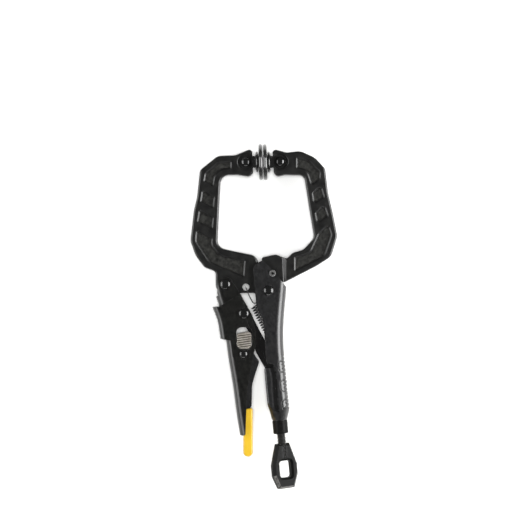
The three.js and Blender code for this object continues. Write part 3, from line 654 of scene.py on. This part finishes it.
def moving_jaw():
    body = cast_plate(MOVING_JAW, MOVING_POCKETS, JAW_HALF)
    cut(body, *pad_fork(MOVING_PAD_PIVOT, JAW_HALF, 1))
    cut(body, bar(MAIN_PIVOT, RIVET_HOLE, PAST_JAW), bar(TOGGLE_PIVOT, RIVET_HOLE, PAST_JAW),
        bar(SPRING_HOLE, SPRING_HOLE_RADIUS, PAST_JAW))
    piece(body, "moving_jaw_cast", "jaw", cast_black, "moving_jaw", 0.22)
    grained(body, JAW_HALF - POCKET_DEPTH)


SHOULDER, SHOULDER_TURN = (12.3, 17), 0.06  # where the shank meets the jaw's root, and its turn in radians


def shank_cut(face):
    """Cutter that thins the fixed jaw's shank on one face, up to a sloped shoulder at the jaw's root."""
    section = [(-20, JAW_HALF), (11.0, JAW_HALF), (11.7, JAW_HALF - 0.4), (13.9, FIXED_JAW_HALF + 0.05),
               (13.9, FIXED_JAW_HALF + 2), (-20, FIXED_JAW_HALF + 2)]
    return lofted([[(*spun(x - SHOULDER[0], y, SHOULDER_TURN, SHOULDER), face * z) for x, z in section]
                   for y in (-5.0, 23.0)])


def fixed_jaw():
    body = cast_plate(FIXED_JAW, FIXED_POCKETS, FIXED_JAW_HALF)
    cut(body, *pad_fork(FIXED_PAD_PIVOT, FIXED_JAW_HALF, -1))
    cut(body, shank_cut(1), shank_cut(-1), bar(ROLL_PIN, ROLL_PIN_RADIUS + GAP, PAST_JAW))
    piece(body, "fixed_jaw_cast", "fixed_side", cast_black, "fixed_jaw", 0.22)
    grained(body, FIXED_JAW_HALF - POCKET_DEPTH)


# ---------------- pads and rivets


def swivel_pad(name, node, body, centre, angle):
    """Turned pad with rounded rims, a neck, a ring and a tongue pierced for its rivet."""
    back = PAD_FACE - PAD_THICKNESS

    def rim(radius, low, high):
        """Edge of a disc broken by a wide chamfer on each side."""
        return [(radius - 0.75, low), (radius - 0.5, low + 0.05), (radius - 0.37, low + 0.14),
                (radius - 0.06, 0.62 * low + 0.38 * high), (radius, (low + high) / 2),
                (radius - 0.06, 0.38 * low + 0.62 * high), (radius - 0.37, high - 0.14),
                (radius - 0.5, high - 0.05), (radius - 0.75, high)]

    profile = [(0, RING_START), *rim(RING_RADIUS, RING_START, RING_END), (NECK_RADIUS + 0.2, RING_END),
               (NECK_RADIUS, RING_END + 0.12), (NECK_RADIUS, back - 0.1), (NECK_RADIUS + 0.2, back),
               *rim(PAD_RADIUS, back, PAD_FACE), (7.6, PAD_FACE), (7.4, PAD_FACE - 0.25),
               (6.9, PAD_FACE - 0.25), (6.7, PAD_FACE), (0, PAD_FACE)]
    tongue = rounded([(-3.5, -3.4, 3.3), (-3.5, 3.4, 3.3), (RING_END - 0.5, 3.4), (RING_END - 0.5, -3.4)])
    pad = turned(profile, 96, lambda v: Vector((*spun(v.y, -v.x, angle, centre), v.z)))
    join(pad, plate([Vector(spun(p.x, p.y, angle, centre)) for p in tongue], TIP_SLOT_HALF - GAP))
    cut(pad, bar(centre, RIVET_HOLE, 4, 32))
    piece(pad, name, body, turned_black, node, sharp=24)


def rivet(name, body, node, centre, face_half, radius, height):
    """Rivet with low domed heads on both faces; face_half is half the thickness between them."""
    seat = face_half + GAP
    upper = [(RIVET_SHANK, seat), (radius - 0.1, seat), (radius, seat + 0.12)]
    for k in range(11):
        a = radians(9 * k)
        upper.append((radius * cos(a), seat + height * (0.10 + 0.90 * sin(a))))
    upper[-1] = (0.0, seat + height)
    profile = [(r, -h) for r, h in reversed(upper)] + upper
    upright = turned(profile, 56, lambda v: Vector((centre[0] + v.x, centre[1] - v.z, v.y)))
    piece(upright, name, body, rivet_black, node, sharp=50)


RIVETS = [  # name, body, CAD node, centre, half thickness between the heads, their radius and height
    ("main_rivet_heads", "fixed_side", "main_pivot_rivet", MAIN_PIVOT, HANDLE_HALF, 2.95, 1.9),
    ("fixed_pad_rivet_heads", "fixed_side", "fixed_pad_rivet", FIXED_PAD_PIVOT, SPOTFACE_HALF, 2.8, 2.2),
    ("moving_pad_rivet_heads", "jaw", "moving_pad_rivet", MOVING_PAD_PIVOT, SPOTFACE_HALF, 2.8, 2.2),
    ("toggle_rivet_heads", "lever", "toggle_rivet", TOGGLE_PIVOT, LEVER_HALF, 2.9, 1.6),
    ("link_rivet_heads", "lever", "link_rivet", LINK_PIVOT, COVER_HALF, 2.9, 1.5),
    ("release_rivet_heads", "lever", "release_rivet", RELEASE_PIVOT, COVER_HALF, 2.3, 1.4),
]

# ---------------- fixed handle
HANDLE_SPINE = [(14.9, -66), (14.6, -53), (13.6, -43), (12.4, -30), (11.3, -18), (11.1, -8), (11.6, 2),
                (12.6, 13), (13.4, 26), (14.0, 42)]
BACK_PATH = spline(HANDLE_SPINE, 16)
HANDLE_FRONT = [(4.0, -64), (2.1, -50), (1.1, -40), (0.3, -30), (-0.6, -18)]
HANDLE_OUTLINE = [
    (-0.8, 32.0, 1.6), (6.4, 24.9, 3.0), (12.8, 16.6, 3.0), (15.5, 14.0), (15.5, -62.0), (5.2, -62.0),
    (3.9, -55.6, 4.0), (2.1, -50.0, 6.0), (0.2, -29.6, 1.2), (5.6, -29.2, 0.8), (5.6, -27.2, 0.8),
    (1.3, -26.2, 1.0), (0.4, -10.0, 6.0), (-0.4, -2.0, 8.0), (-4.2, 5.6, 6.0), (-5.0, 16.0, 10.0),
    (-6.2, 28.6, 4.0),
]
HANDLE_CAVITY = [(-30, 40), (30, 40), (30, -46), (12.2, -51.0, 1.6), (5.2, -51.0, 1.0), (3.5, -48.2, 2.0),
                 (2.4, -37.6, 0.8), (-30, -36.4)]
BEND = 5.0  # radius of the bend along the handle's back
BACK_WIDTH = pi * BEND + 2 * (HANDLE_HALF - BEND)  # round the back from one flat face to the other
GROOVE_TOP, GROOVE_PITCH, GROOVE_RADIUS = -25.0, 2.18, 0.42
GROUP, GROUPS = 5, 3  # grooves to each group of raised fingers, and groups
FRONT_LEAN = (0.8, 4.6)  # how much narrower the folded front is on each side, and over what length
VALLEY = spline([(4.8, -29.0), (5.8, -33.0), (6.3, -40.0), (6.7, -47.0), (7.3, -53.0), (8.0, -57.0)], 8)
VALLEY_RADIUS, VALLEY_DEPTH = 7.6, 0.65
ANCHOR_HOLE_RADIUS, ANCHOR_HOLE_DEPTH = 1.8, 1.0


def on_back(y, w):
    """Point on the handle's skin at height y, at distance w round the back from where the top bend starts."""
    path = BACK_PATH
    k = next(i for i in range(1, len(path) - 1) if path[i].y >= y or i == len(path) - 2)
    along = (path[k] - path[k - 1]).normalized()
    edge = path[k - 1].lerp(path[k], (y - path[k - 1].y) / (path[k].y - path[k - 1].y))
    far = w > BACK_WIDTH / 2
    w = BACK_WIDTH - w if far else w
    angle = min(max(w / BEND, 0.0), pi / 2)
    depth = BEND - BEND * sin(angle) - min(w, 0.0)
    z = HANDLE_HALF - BEND + BEND * cos(angle) - max(0.0, w - BEND * pi / 2)
    return Vector((edge.x - along.y * depth, edge.y + along.x * depth, -z if far else z))


def grip_grooves():
    """Cross grooves round the back, and groups of raised fingers outlined on both bends."""
    tools = []
    for i in range(-1, GROUP * GROUPS - 1):
        between_fingers = i > 0 and i % GROUP in (1, 2)
        start = 3.1 if between_fingers else 4.9
        steps = [start + (BACK_WIDTH - 2 * start) * k / 24 for k in range(25)]
        tools.append(tube([on_back(GROOVE_TOP - GROOVE_PITCH * i, w) for w in steps], GROOVE_RADIUS, 10))
    for group in range(GROUPS):
        top = GROOVE_TOP - GROOVE_PITCH * GROUP * group
        low = top - GROOVE_PITCH * 3
        bow = [(top, 5.2), (top, 4.2), (top - 0.1, 3.2), (top - 0.35, 2.2), (top - 1.1, 1.4),
               (top - 2.2, 1.2), (low + 2.2, 1.2), (low + 1.1, 1.4), (low + 0.35, 2.2), (low + 0.1, 3.2),
               (low, 4.2), (low, 5.2)]
        points = [on_back(y, w) for y, w in spline(bow, 4)]
        for side in (1, -1):
            tools.append(tube([(p.x, p.y, side * p.z) for p in points], GROOVE_RADIUS, 10))
    return tools


def folded_front(shell):
    """Give the lower front edge, where the sheet is folded shut, its rounded, leaning form."""
    beside = plate(rounded([(-20, -70), (7, -70), (7, -28.6), (-20, -28.6)]), PAST_HANDLE)
    cut(beside, backed_bar(HANDLE_FRONT, -1, 0, HANDLE_HALF + 0.02, 1.4, 40, FRONT_LEAN))
    cut(shell, beside)


def handle_cone(shell):
    """Round the lower end off to a cone on the screw's axis, down to where the collar starts."""
    nose = [(0, -90), (50, -90), (50, 13), (9.2, 15.0), (7.9, 17.2), (6.8, 19.6), (5.9, 22.0), (5.05, 24.4),
            (4.3, 26.5), (3.95, 26.9), (3.95, 30.0), (0, 30)]
    combine(shell, turned_on_screw(nose, 96), "INTERSECT")


def handle_hollow(shell):
    hollow = backed_bar(HANDLE_SPINE, 1, HANDLE_SHEET, CHANNEL_HALF, 1.4, 60)
    combine(hollow, plate(rounded(HANDLE_CAVITY), PAST_HANDLE), "INTERSECT")
    cut(shell, hollow)


def threaded_collar(shell):
    """Collar at the lower end, with a bore for the screw."""
    collar = [(0, COLLAR_START - 4), (3.9, COLLAR_START - 4), (3.9, COLLAR_START),
              (COLLAR_RADIUS - 0.1, COLLAR_START + 0.1), (COLLAR_RADIUS, COLLAR_START + 0.35),
              (COLLAR_RADIUS, COLLAR_END - 0.5), (COLLAR_RADIUS - 0.15, COLLAR_END - 0.15),
              (COLLAR_RADIUS - 0.5, COLLAR_END), (0, COLLAR_END)]
    join(shell, turned_on_screw(collar, 96))
    bore = [(0, COLLAR_START - 12), (THREAD_CREST + 0.15, COLLAR_START - 12),
            (THREAD_CREST + 0.15, COLLAR_END - 0.5), (THREAD_CREST + 0.7, COLLAR_END + 0.1),
            (THREAD_CREST + 0.7, COLLAR_END + 3), (0, COLLAR_END + 3)]
    cut(shell, turned_on_screw(bore, 48))


def handle_holes(shell):
    """Through holes for the rivet and the roll pin, and blind ones inside for the spring's anchor pin."""
    cut(shell, bar(MAIN_PIVOT, RIVET_HOLE, PAST_HANDLE), bar(ROLL_PIN, ROLL_PIN_RADIUS + GAP, PAST_HANDLE),
        bar(SPRING_ANCHOR, ANCHOR_HOLE_RADIUS, CHANNEL_HALF + ANCHOR_HOLE_DEPTH, 32))


def handle_valleys(shell):
    """Shallow valley on each face, between the folded front and the cheek."""
    for face in (1, -1):
        axis = [(*p, face * (HANDLE_HALF + VALLEY_RADIUS - VALLEY_DEPTH)) for p in VALLEY]
        cut(shell, tube(axis, VALLEY_RADIUS, 96))


def handle_shell():
    shell = plate(rounded(HANDLE_OUTLINE), HANDLE_HALF)
    combine(shell, backed_bar(HANDLE_SPINE, 1, 0, HANDLE_HALF, BEND, 44), "INTERSECT")
    for shape in (folded_front, handle_cone, handle_hollow, threaded_collar, handle_holes, handle_valleys):
        shape(shell)
    cut(shell, *grip_grooves())
    piece(shell, "handle_shell", "fixed_side", satin_black, "fixed_handle", 0.2)

    # Faces along the valley floor get the darker rivet finish: painted shade for the dark stripe down each
    # valley.
    def in_shaded_valley(centre, normal):
        near = min((Vector(p) - centre.xy).length for p in VALLEY)
        return near < 1.15 and abs(normal.z) > 0.9 and 0.02 < HANDLE_HALF - abs(centre.z) < 1.0

    repaint(shell, rivet_black, in_shaded_valley)
    repaint(shell, forged_black, lambda centre, normal: -off_screw(centre).y > COLLAR_START + 0.05)


moving_jaw()
fixed_jaw()
handle_shell()
for row in RIVETS:
    rivet(*row)
swivel_pad("moving_pad_turned", "moving_pad", "moving_swivel", MOVING_PAD_PIVOT, PAD_TILT)
swivel_pad("fixed_pad_turned", "fixed_pad", "fixed_swivel", FIXED_PAD_PIVOT, pi + PAD_TILT)

# ---------------- lever, cover and their small parts
LEVER_SPINE = [(-12.8, -74), (-13.7, -66.5), (-15.6, -54), (-17.5, -39.5), (-19.9, -25), (-21.5, -13.5),
               (-23.3, -3), (-25.5, 5.8), (-27.6, 13), (-30.0, 24)]
LEVER_OUTLINE = [
    (-25.9, 21.0, 3.4), (-20.4, 23.6, 4.0), (-14.8, 15.4, 8.0), (-11.5, 9.2, 8.0), (-6.4, 0.4, 10.0),
    (-4.6, -9.0, 12.0), (-4.2, -15.0, 8.0), (-6.6, -25.4, 10.0), (-9.2, -41.0, 20.0), (-10.0, -55.0, 30.0),
    (-10.4, -67.6, 1.2), (-15.0, -67.6), (-30.0, 0.0), (-29.0, 11.2), (-26.6, 11.2, 0.6),
]
SLOT = [(-15.7, -6.1, 3.2), (-6.6, -6.1, 3.2), (-6.6, -18.7, 3.2), (-15.7, -18.7, 3.2)]
COVER_SPINE = [(-23.4, -26), (-24.3, -16), (-25.1, -9.5), (-26.2, -3), (-28.4, 3.4), (-31.4, 11)]
COVER_OUTLINE = [
    (-30.6, 5.4), (-25.8, 5.4, 1.5), (-14.7, 12.0, 1.5), (-11.6, 9.6, 2.0), (-9.6, -2.1, 20.0),
    (-5.6, -13.0, 10.0), (-5.6, -22.2, 1.6), (-11.0, -24.4, 8.0), (-17.4, -24.4, 2.6), (-18.9, -13.6, 0.6),
    (-21.6, -13.2, 0.6), (-24.5, -12.7, 0.4), (-30.0, -12.4),
]
LEVER_BEND, COVER_BEND = 4.4, 3.6  # radii of the bends along their backs
NOTCHES, FIRST_NOTCH, LAST_NOTCH = 8, 22, 45  # their count, and their places among the spine's points
SLIDE_RIBS, SLIDE_RIB_PITCH, SLIDE_RIB_RADIUS, SLIDE_RIB_TILT = 7, 1.28, 0.55, 0.14
SLEEVE_WALL, SLEEVE_END = 0.9, -79.8
SLEEVE_RIM = [(1.1, 0.0), (0.62, 0.12), (0.28, 0.38), (0.07, 0.78), (0.0, 1.3)]  # inset, depth


def slot_and_holes(*pivots):
    return [plate(rounded(SLOT), PAST_HANDLE), *(bar(p, RIVET_HOLE, PAST_HANDLE, 32) for p in pivots)]


def lever_handle():
    """Folded channel; its top end is two flat ears without a back between them."""
    shell = plate(rounded(LEVER_OUTLINE), LEVER_HALF)
    combine(shell, backed_bar(LEVER_SPINE, -1, 0, LEVER_HALF, LEVER_BEND, 44), "INTERSECT")
    between_ears = plate(rounded([(-40, 40), (-40, 11.6), (10, 11.6), (10, 40)]), CHANNEL_HALF)
    cut(shell, backed_bar(LEVER_SPINE, -1, LEVER_SHEET, CHANNEL_HALF, 1.2, 60), between_ears,
        *slot_and_holes(TOGGLE_PIVOT, LINK_PIVOT, RELEASE_PIVOT))
    piece(shell, "lever_shell", "lever", enamel_black, "lever_handle", 0.2)


def lock_cover():
    """Outer folded cover with a notched back."""
    shell = plate(rounded(COVER_OUTLINE), COVER_HALF)
    combine(shell, backed_bar(COVER_SPINE, -1, 0, COVER_HALF, COVER_BEND, 30), "INTERSECT")
    cut(shell, backed_bar(COVER_SPINE, -1, COVER_SHEET, COVER_INNER_HALF, 1.2, 32),
        *slot_and_holes(LINK_PIVOT, RELEASE_PIVOT))
    path = spline(COVER_SPINE, 12)
    for k in range(NOTCHES):
        at = path[round(FIRST_NOTCH + (LAST_NOTCH - FIRST_NOTCH) * k / (NOTCHES - 1))]
        cut(shell, bar((at.x - 0.1, at.y), 0.55, 5.4, 20))
    piece(shell, "lock_cover_shell", "lever", enamel_black, "lock_cover", 0.2)


def beside_link(along, left, radius):
    """Corner at a distance along the link from its rivet, and to the left of its axis."""
    direction = (Vector(HEEL_CENTRE) - Vector(LINK_PIVOT)).normalized()
    point = Vector(LINK_PIVOT) + direction * along + Vector((direction.y, -direction.x)) * left
    return (point.x, point.y, radius)


def toggle_link():
    length = (Vector(HEEL_CENTRE) - Vector(LINK_PIVOT)).length
    outline = rounded([
        beside_link(-3.9, 3.9, 3.8), beside_link(-3.9, -3.9, 3.8), beside_link(6.0, -3.4, 10.0),
        beside_link(length + 3.3, -3.3, 3.2), beside_link(length + 3.3, 3.3, 3.2),
        beside_link(30.0, 4.0, 6.0), beside_link(23.0, 4.2, 6.0), beside_link(11.0, 2.4, 10.0),
    ])
    body = cut(plate(outline, LINK_HALF), bar(LINK_PIVOT, RIVET_HOLE, PAST_JAW, 32))
    # Its darker finish is painted shade, for the shade the link lies in inside the lever.
    piece(body, "toggle_link_bar", "link", rivet_black, "toggle_link", 0.35, 3)


def release_lever():
    outline = rounded([
        (-15.2, -17.5, 3.6), (-7.8, -17.5, 3.4), (-5.6, -21.4, 3.0), (-2.6, -26.0, 1.4), (-4.8, -32.6, 10.0),
        (-6.6, -39.0, 10.0), (-6.9, BLADE_TOP), (BLADE_RIGHT, BLADE_TOP - 0.6, 0.5),
        (BLADE_RIGHT, BLADE_END, 1.2), (BLADE_LEFT, BLADE_END, 1.2), (BLADE_LEFT, BLADE_TOP - 0.8, 0.5),
        (-11.6, BLADE_TOP), (-14.2, -34.0, 10.0), (-15.4, -24.0, 5.0),
    ])
    body = cut(plate(outline, RELEASE_HALF), bar(RELEASE_PIVOT, RIVET_HOLE, PAST_JAW, 32))
    piece(body, "release_blade", "release", satin_black, "release_lever", 0.25)


def release_grip():
    """Dipped sleeve with soft rims, hollow round the blade."""
    half = RELEASE_HALF + GAP
    left, right = BLADE_LEFT - GAP, BLADE_RIGHT + GAP
    sleeve = rounded([(left - SLEEVE_WALL, BLADE_TOP - 1.9, 1.25),
                      (right + SLEEVE_WALL, BLADE_TOP - 1.0, 1.25),
                      (right + SLEEVE_WALL, SLEEVE_END, 2.6), (left - SLEEVE_WALL, SLEEVE_END, 2.6)])
    inside = rounded([(left, BLADE_TOP + 6), (right, BLADE_TOP + 6), (right, BLADE_END - GAP, 1.3),
                      (left, BLADE_END - GAP, 1.3)])
    top = half + SLEEVE_WALL
    rings = [*stepped(sleeve, SLEEVE_RIM, -1, top), *stepped(sleeve, SLEEVE_RIM[::-1], 1, top)]
    body = cut(lofted(rings), plate(inside, half))
    piece(body, "release_grip_sleeve", "release", vinyl_coat, "release_grip", sharp=45)


def lock_slide():
    """Two ribbed buttons, one on each face, joined by the core that runs in the slot."""
    outline = rounded([(-15.3, -9.9, 1.0), (-7.0, -8.2, 2.2), (-7.0, -18.3, 2.8), (-15.3, -18.3, 2.8)])
    core = rounded([(-14.8, -10.8, 0.6), (-11.6, -10.8, 0.6), (-11.6, -15.8, 0.6), (-14.8, -15.8, 0.6)])
    body = plate(core, 5)
    top = COVER_HALF + 0.6
    reach = Vector((cos(SLIDE_RIB_TILT), sin(SLIDE_RIB_TILT))) * 6
    for face in (1, -1):
        low, high = sorted((face * (LINK_HALF + 0.35), face * (top - 0.75)))
        join(body, prism(outline, low, high))
        for k in range(SLIDE_RIBS):
            middle = Vector((-11.1, -9.9 - SLIDE_RIB_PITCH * k))
            ends = [middle - reach, middle + reach]
            rib = tube([(*p, face * (top - SLIDE_RIB_RADIUS)) for p in ends], SLIDE_RIB_RADIUS, 16)
            combine(rib, plate(inset(outline, 0.2), 12), "INTERSECT")
            join(body, rib)
    piece(body, "lock_slide_button", "slide", worn_nickel, "lock_slide", sharp=35)


lever_handle()
lock_cover()
toggle_link()
release_lever()
release_grip()
lock_slide()

# ---------------- spring, screw and loop head
COIL_RADIUS, WIRE_RADIUS, COIL_TURNS, COIL_SIDES = 2.3, 0.3, 12, 20
COIL_TOP, COIL_BOTTOM = Vector((-5.0, 6.0, 0)), Vector((3.4, -10.6, 0))
UP = Vector((0, 0, 1))
LOOP_CENTRE = Vector((0, -55))  # of the head's window, in the screw's own axes
HEAD_CHAMFER, FACETS_START = 1.2, -58.0


def opening_spring():
    """Coil with a hook through the moving jaw's hole and one round the anchor pin."""
    axis = COIL_BOTTOM - COIL_TOP
    along = axis.normalized()
    across = along.cross(UP)
    coil = []
    steps = COIL_TURNS * COIL_SIDES
    for k in range(steps + 1):
        a = 2 * pi * k / COIL_SIDES + radians(200)
        coil.append(COIL_TOP + axis * (k / steps) + (across * cos(a) + UP * sin(a)) * COIL_RADIUS)
    upper = spline([(*SPRING_HOLE, -2.0), (*SPRING_HOLE, 1.0), (-10.2, 16.5, 4.0), (-9.7, 15.2, 5.3),
                    (-8.5, 12.2, 5.2), (-7.2, 9.8, 4.2), (-5.9, 7.6, 2.2),
                    coil[0] + Vector((0.2, 0.9, 0.5))], 6)
    hook = [(*p, 0) for p in arc(SPRING_ANCHOR, 2.0, 125, -90, 6)]
    lower = spline([coil[-1] + along * 0.5, (4.3, -12.2, 0), *hook], 6)
    wire = tube([*upper, *coil[2:-2], *lower], WIRE_RADIUS, 10)
    piece(wire, "opening_spring_wire", None, oxide_black, "opening_spring", sharp=60, clean=False)
    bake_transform(wire)


def adjusting_screw():
    """Threaded rod: rings along its axis, whose radius follows the thread's helix."""
    rings, sides, step = [], 40, 0.1
    count = round((SCREW_END - SCREW_START) / step)
    for j in range(count + 1):
        s = SCREW_START + step * j
        ease = min(1.0, (s - SCREW_START) / 0.8)
        ring = []
        for k in range(sides):
            phase = (s / THREAD_PITCH - k / sides) % 1.0
            tooth = min(1.0, max(0.0, 1.6 * (1 - abs(2 * phase - 1)) - 0.25))
            radius = (THREAD_ROOT + (THREAD_CREST - THREAD_ROOT) * tooth) * (0.8 + 0.2 * ease)
            a = 2 * pi * k / sides
            ring.append(on_screw(Vector((radius * cos(a), -s, radius * sin(a)))))
        rings.append(ring)
    piece(lofted(rings), "screw_thread", "screw", oxide_black, "adjusting_screw", sharp=60, clean=False)


def seen_from(centre, outline, angles):
    """Points where rays from a centre at the given angles leave an outline round it."""
    out = []
    for angle in angles:
        ray = Vector((cos(angle), sin(angle)))
        for p, q in zip(outline, outline[1:] + outline[:1]):
            edge = q - p
            slope = ray.x * edge.y - ray.y * edge.x
            if abs(slope) < 1e-9:
                continue
            along = ((p.x - centre.x) * edge.y - (p.y - centre.y) * edge.x) / slope
            share = ((p.x - centre.x) * ray.y - (p.y - centre.y) * ray.x) / slope
            if along > 0 and -1e-6 <= share <= 1 + 1e-6:
                out.append(centre + ray * along)
                break
    return out


def head_chamfer(p):
    """Depth of the chamfer at a point of the outline, on the side that faces up at rest."""
    if p.y < 0.6 - HEAD_END:
        return 1.0
    return 2.0 if p.x < 0 else HEAD_CHAMFER


def on_highlit_facet(centre, normal):
    """On the chamfer round the head's far end, on the side that faces up at rest: the facets that get a
    painted highlight.
    """
    c, s = cos(HEAD_TURN), sin(HEAD_TURN)
    p = off_screw(centre)
    n = off_screw(normal + Vector((*HEEL_CENTRE, 0)))  # only the turn is wanted, so the shift is undone
    across, up = c * n.x - s * n.z, s * n.x + c * n.z
    outward = (c * p.x - s * p.z) * across + (p.y - LOOP_CENTRE.y) * n.y
    return 0.3 < up < 0.95 and outward > 0.5 and p.y < FACETS_START


def loop_head():
    """Forged loop, chamfered inside and out; the rod sits in a slot in its neck."""
    right = [(3.9, -HEAD_START, 0.5), (7.7, -52.4, 1.4), (7.7, -58.6, 1.4), (4.9, -HEAD_END, 1.0)]
    outer = rounded([(-3.9, -HEAD_START, 0.5), *right, (-4.9, -HEAD_END, 1.0), (-7.7, -58.6, 1.4),
                     (-7.7, -52.4, 1.4)], 12)
    window = rounded([(-3.7, -50.2, 1.6), (-3.7, -59.8, 1.6), (3.7, -59.8, 1.6), (3.7, -50.2, 1.6)], 12)
    angles = sorted({round(atan2(p.y - LOOP_CENTRE.y, p.x - LOOP_CENTRE.x), 4) for p in outer + window})
    c, s = cos(HEAD_TURN), sin(HEAD_TURN)
    edge = HEAD_HALF - HEAD_CHAMFER
    section = [(outer, 0.0, 0.0), (outer, 0.0, None), (outer, HEAD_CHAMFER, HEAD_HALF),
               (window, -HEAD_CHAMFER, HEAD_HALF), (window, 0.0, edge), (window, 0.0, 0.0),
               (window, 0.0, -edge), (window, -HEAD_CHAMFER, -HEAD_HALF), (outer, HEAD_CHAMFER, -HEAD_HALF),
               (outer, 0.0, -edge)]  # outline, inset, height; None leaves the height to head_chamfer
    rings = []
    for outline, into, height in section:
        ring = []
        for p in seen_from(LOOP_CENTRE, inset(outline, into), angles):
            z = HEAD_HALF - head_chamfer(p) if height is None else height
            ring.append(on_screw(Vector((c * p.x + s * z, p.y, -s * p.x + c * z))))
        rings.append(ring)
    radius, end = THREAD_CREST + 0.2, SCREW_END + 0.3
    body = cut(lofted(rings, True), turned_on_screw([(0, 36.3), (radius, 36.3), (radius, end), (0, end)], 48))
    piece(body, "loop_head_forged", "screw", forged_black, "screw_loop_head", 0.3, 3, 25)
    # The upward chamfer facets get a lighter finish: a painted highlight.
    repaint(body, facet_highlight, on_highlit_facet)


def roll_pin():
    """Rolled spring pin: a split tube, closed deep inside."""
    half = HANDLE_HALF + 0.1
    outer, inner = (arc(ROLL_PIN, radius, 10, 350, 40) for radius in (ROLL_PIN_RADIUS, 0.8))
    outline = [Vector(p) for p in outer + inner[::-1]]
    body = join(plate(outline, half), bar(ROLL_PIN, 1.2, half - 2.0, 24))
    piece(body, "roll_pin_split", "fixed_side", pin_steel, "jaw_roll_pin", sharp=40, clean=False)


opening_spring()
adjusting_screw()
loop_head()
roll_pin()
keep_node("spring_anchor_pin", oxide_black, 0.1)
keep_node("thrust_tip", oxide_black, 0.1)
keep_node("slide_detent_spring", oxide_black, 0.05)

# ---------------- floor, light and camera
PICTURE_SPAN = 0.3021  # metres across the picture at the tool's mid-plane
PICTURE_CENTRE = (0.0007, 0.0292)
CAMERA_HEIGHT, SENSOR = 1.3, 36


def floor():
    obj = mesh_object([(-3, -3, 0), (3, -3, 0), (3, 3, 0), (-3, 3, 0)], [(0, 1, 2, 3)], "floor")
    material, tree, shader = nodes_of("pale_floor")
    place = add(tree, "ShaderNodeTexCoord").outputs["Object"]
    tone = ramp(tree, noise_at(tree, place, 40), [(0.3, (0.86, 0.86, 0.85)), (0.7, (0.89, 0.89, 0.88))])
    tree.links.new(tone, shader.inputs["Base Color"])
    settle(shader, {"Roughness": 0.9})
    obj.data.materials.append(material)


def softbox(name, place, size, radiance):
    """Rectangular light facing the tool; its second size runs along Y."""
    light = bpy.data.lights.new(name, "AREA")
    light.shape = "RECTANGLE"
    light.size, light.size_y = size
    light.energy = radiance * pi * size[0] * size[1]
    obj = placed(name, light)
    obj.location = place
    back = (Vector(place) - Vector((0, 0, MID_Z * MM))).normalized()
    side = Vector((0, 1, 0) if abs(back.y) < 0.7 else (-1, 0, 0)).cross(back).normalized()
    obj.rotation_mode = "QUATERNION"
    obj.rotation_quaternion = Matrix((side, back.cross(side), back)).transposed().to_quaternion()
    return obj


def lights():
    """Dim white world, softboxes round the tool, and an overhead fill that polished parts don't mirror."""
    world = bpy.data.worlds.new("studio")
    bpy.context.scene.world = world
    world.use_nodes = True
    settle(world.node_tree.nodes["Background"], {"Color": (1.0, 1.0, 1.0, 1), "Strength": 0.08})
    softbox("right_softbox", (0.70, 0.03, 0.40), (0.46, 0.74), 9.5)
    softbox("left_softbox", (-0.70, 0.03, 0.40), (0.46, 0.74), 4.6)
    softbox("front_softbox", (0.0, -0.85, 0.14), (0.26, 0.80), 2.6)
    softbox("overhead_fill", (0.0, 0.03, 1.7), (0.40, 0.40), 52.0).visible_glossy = False


def camera():
    """Camera straight above the tool."""
    data = bpy.data.cameras.new("camera")
    obj = placed("camera", data)
    data.sensor_width = SENSOR
    data.lens = SENSOR * CAMERA_HEIGHT / PICTURE_SPAN
    obj.location = (*PICTURE_CENTRE, MID_Z * MM + CAMERA_HEIGHT)
    data.clip_start, data.clip_end = 0.01, 20
    bpy.context.scene.camera = obj


floor()
lights()
camera()
bpy.context.scene.view_settings.view_transform = "Standard"
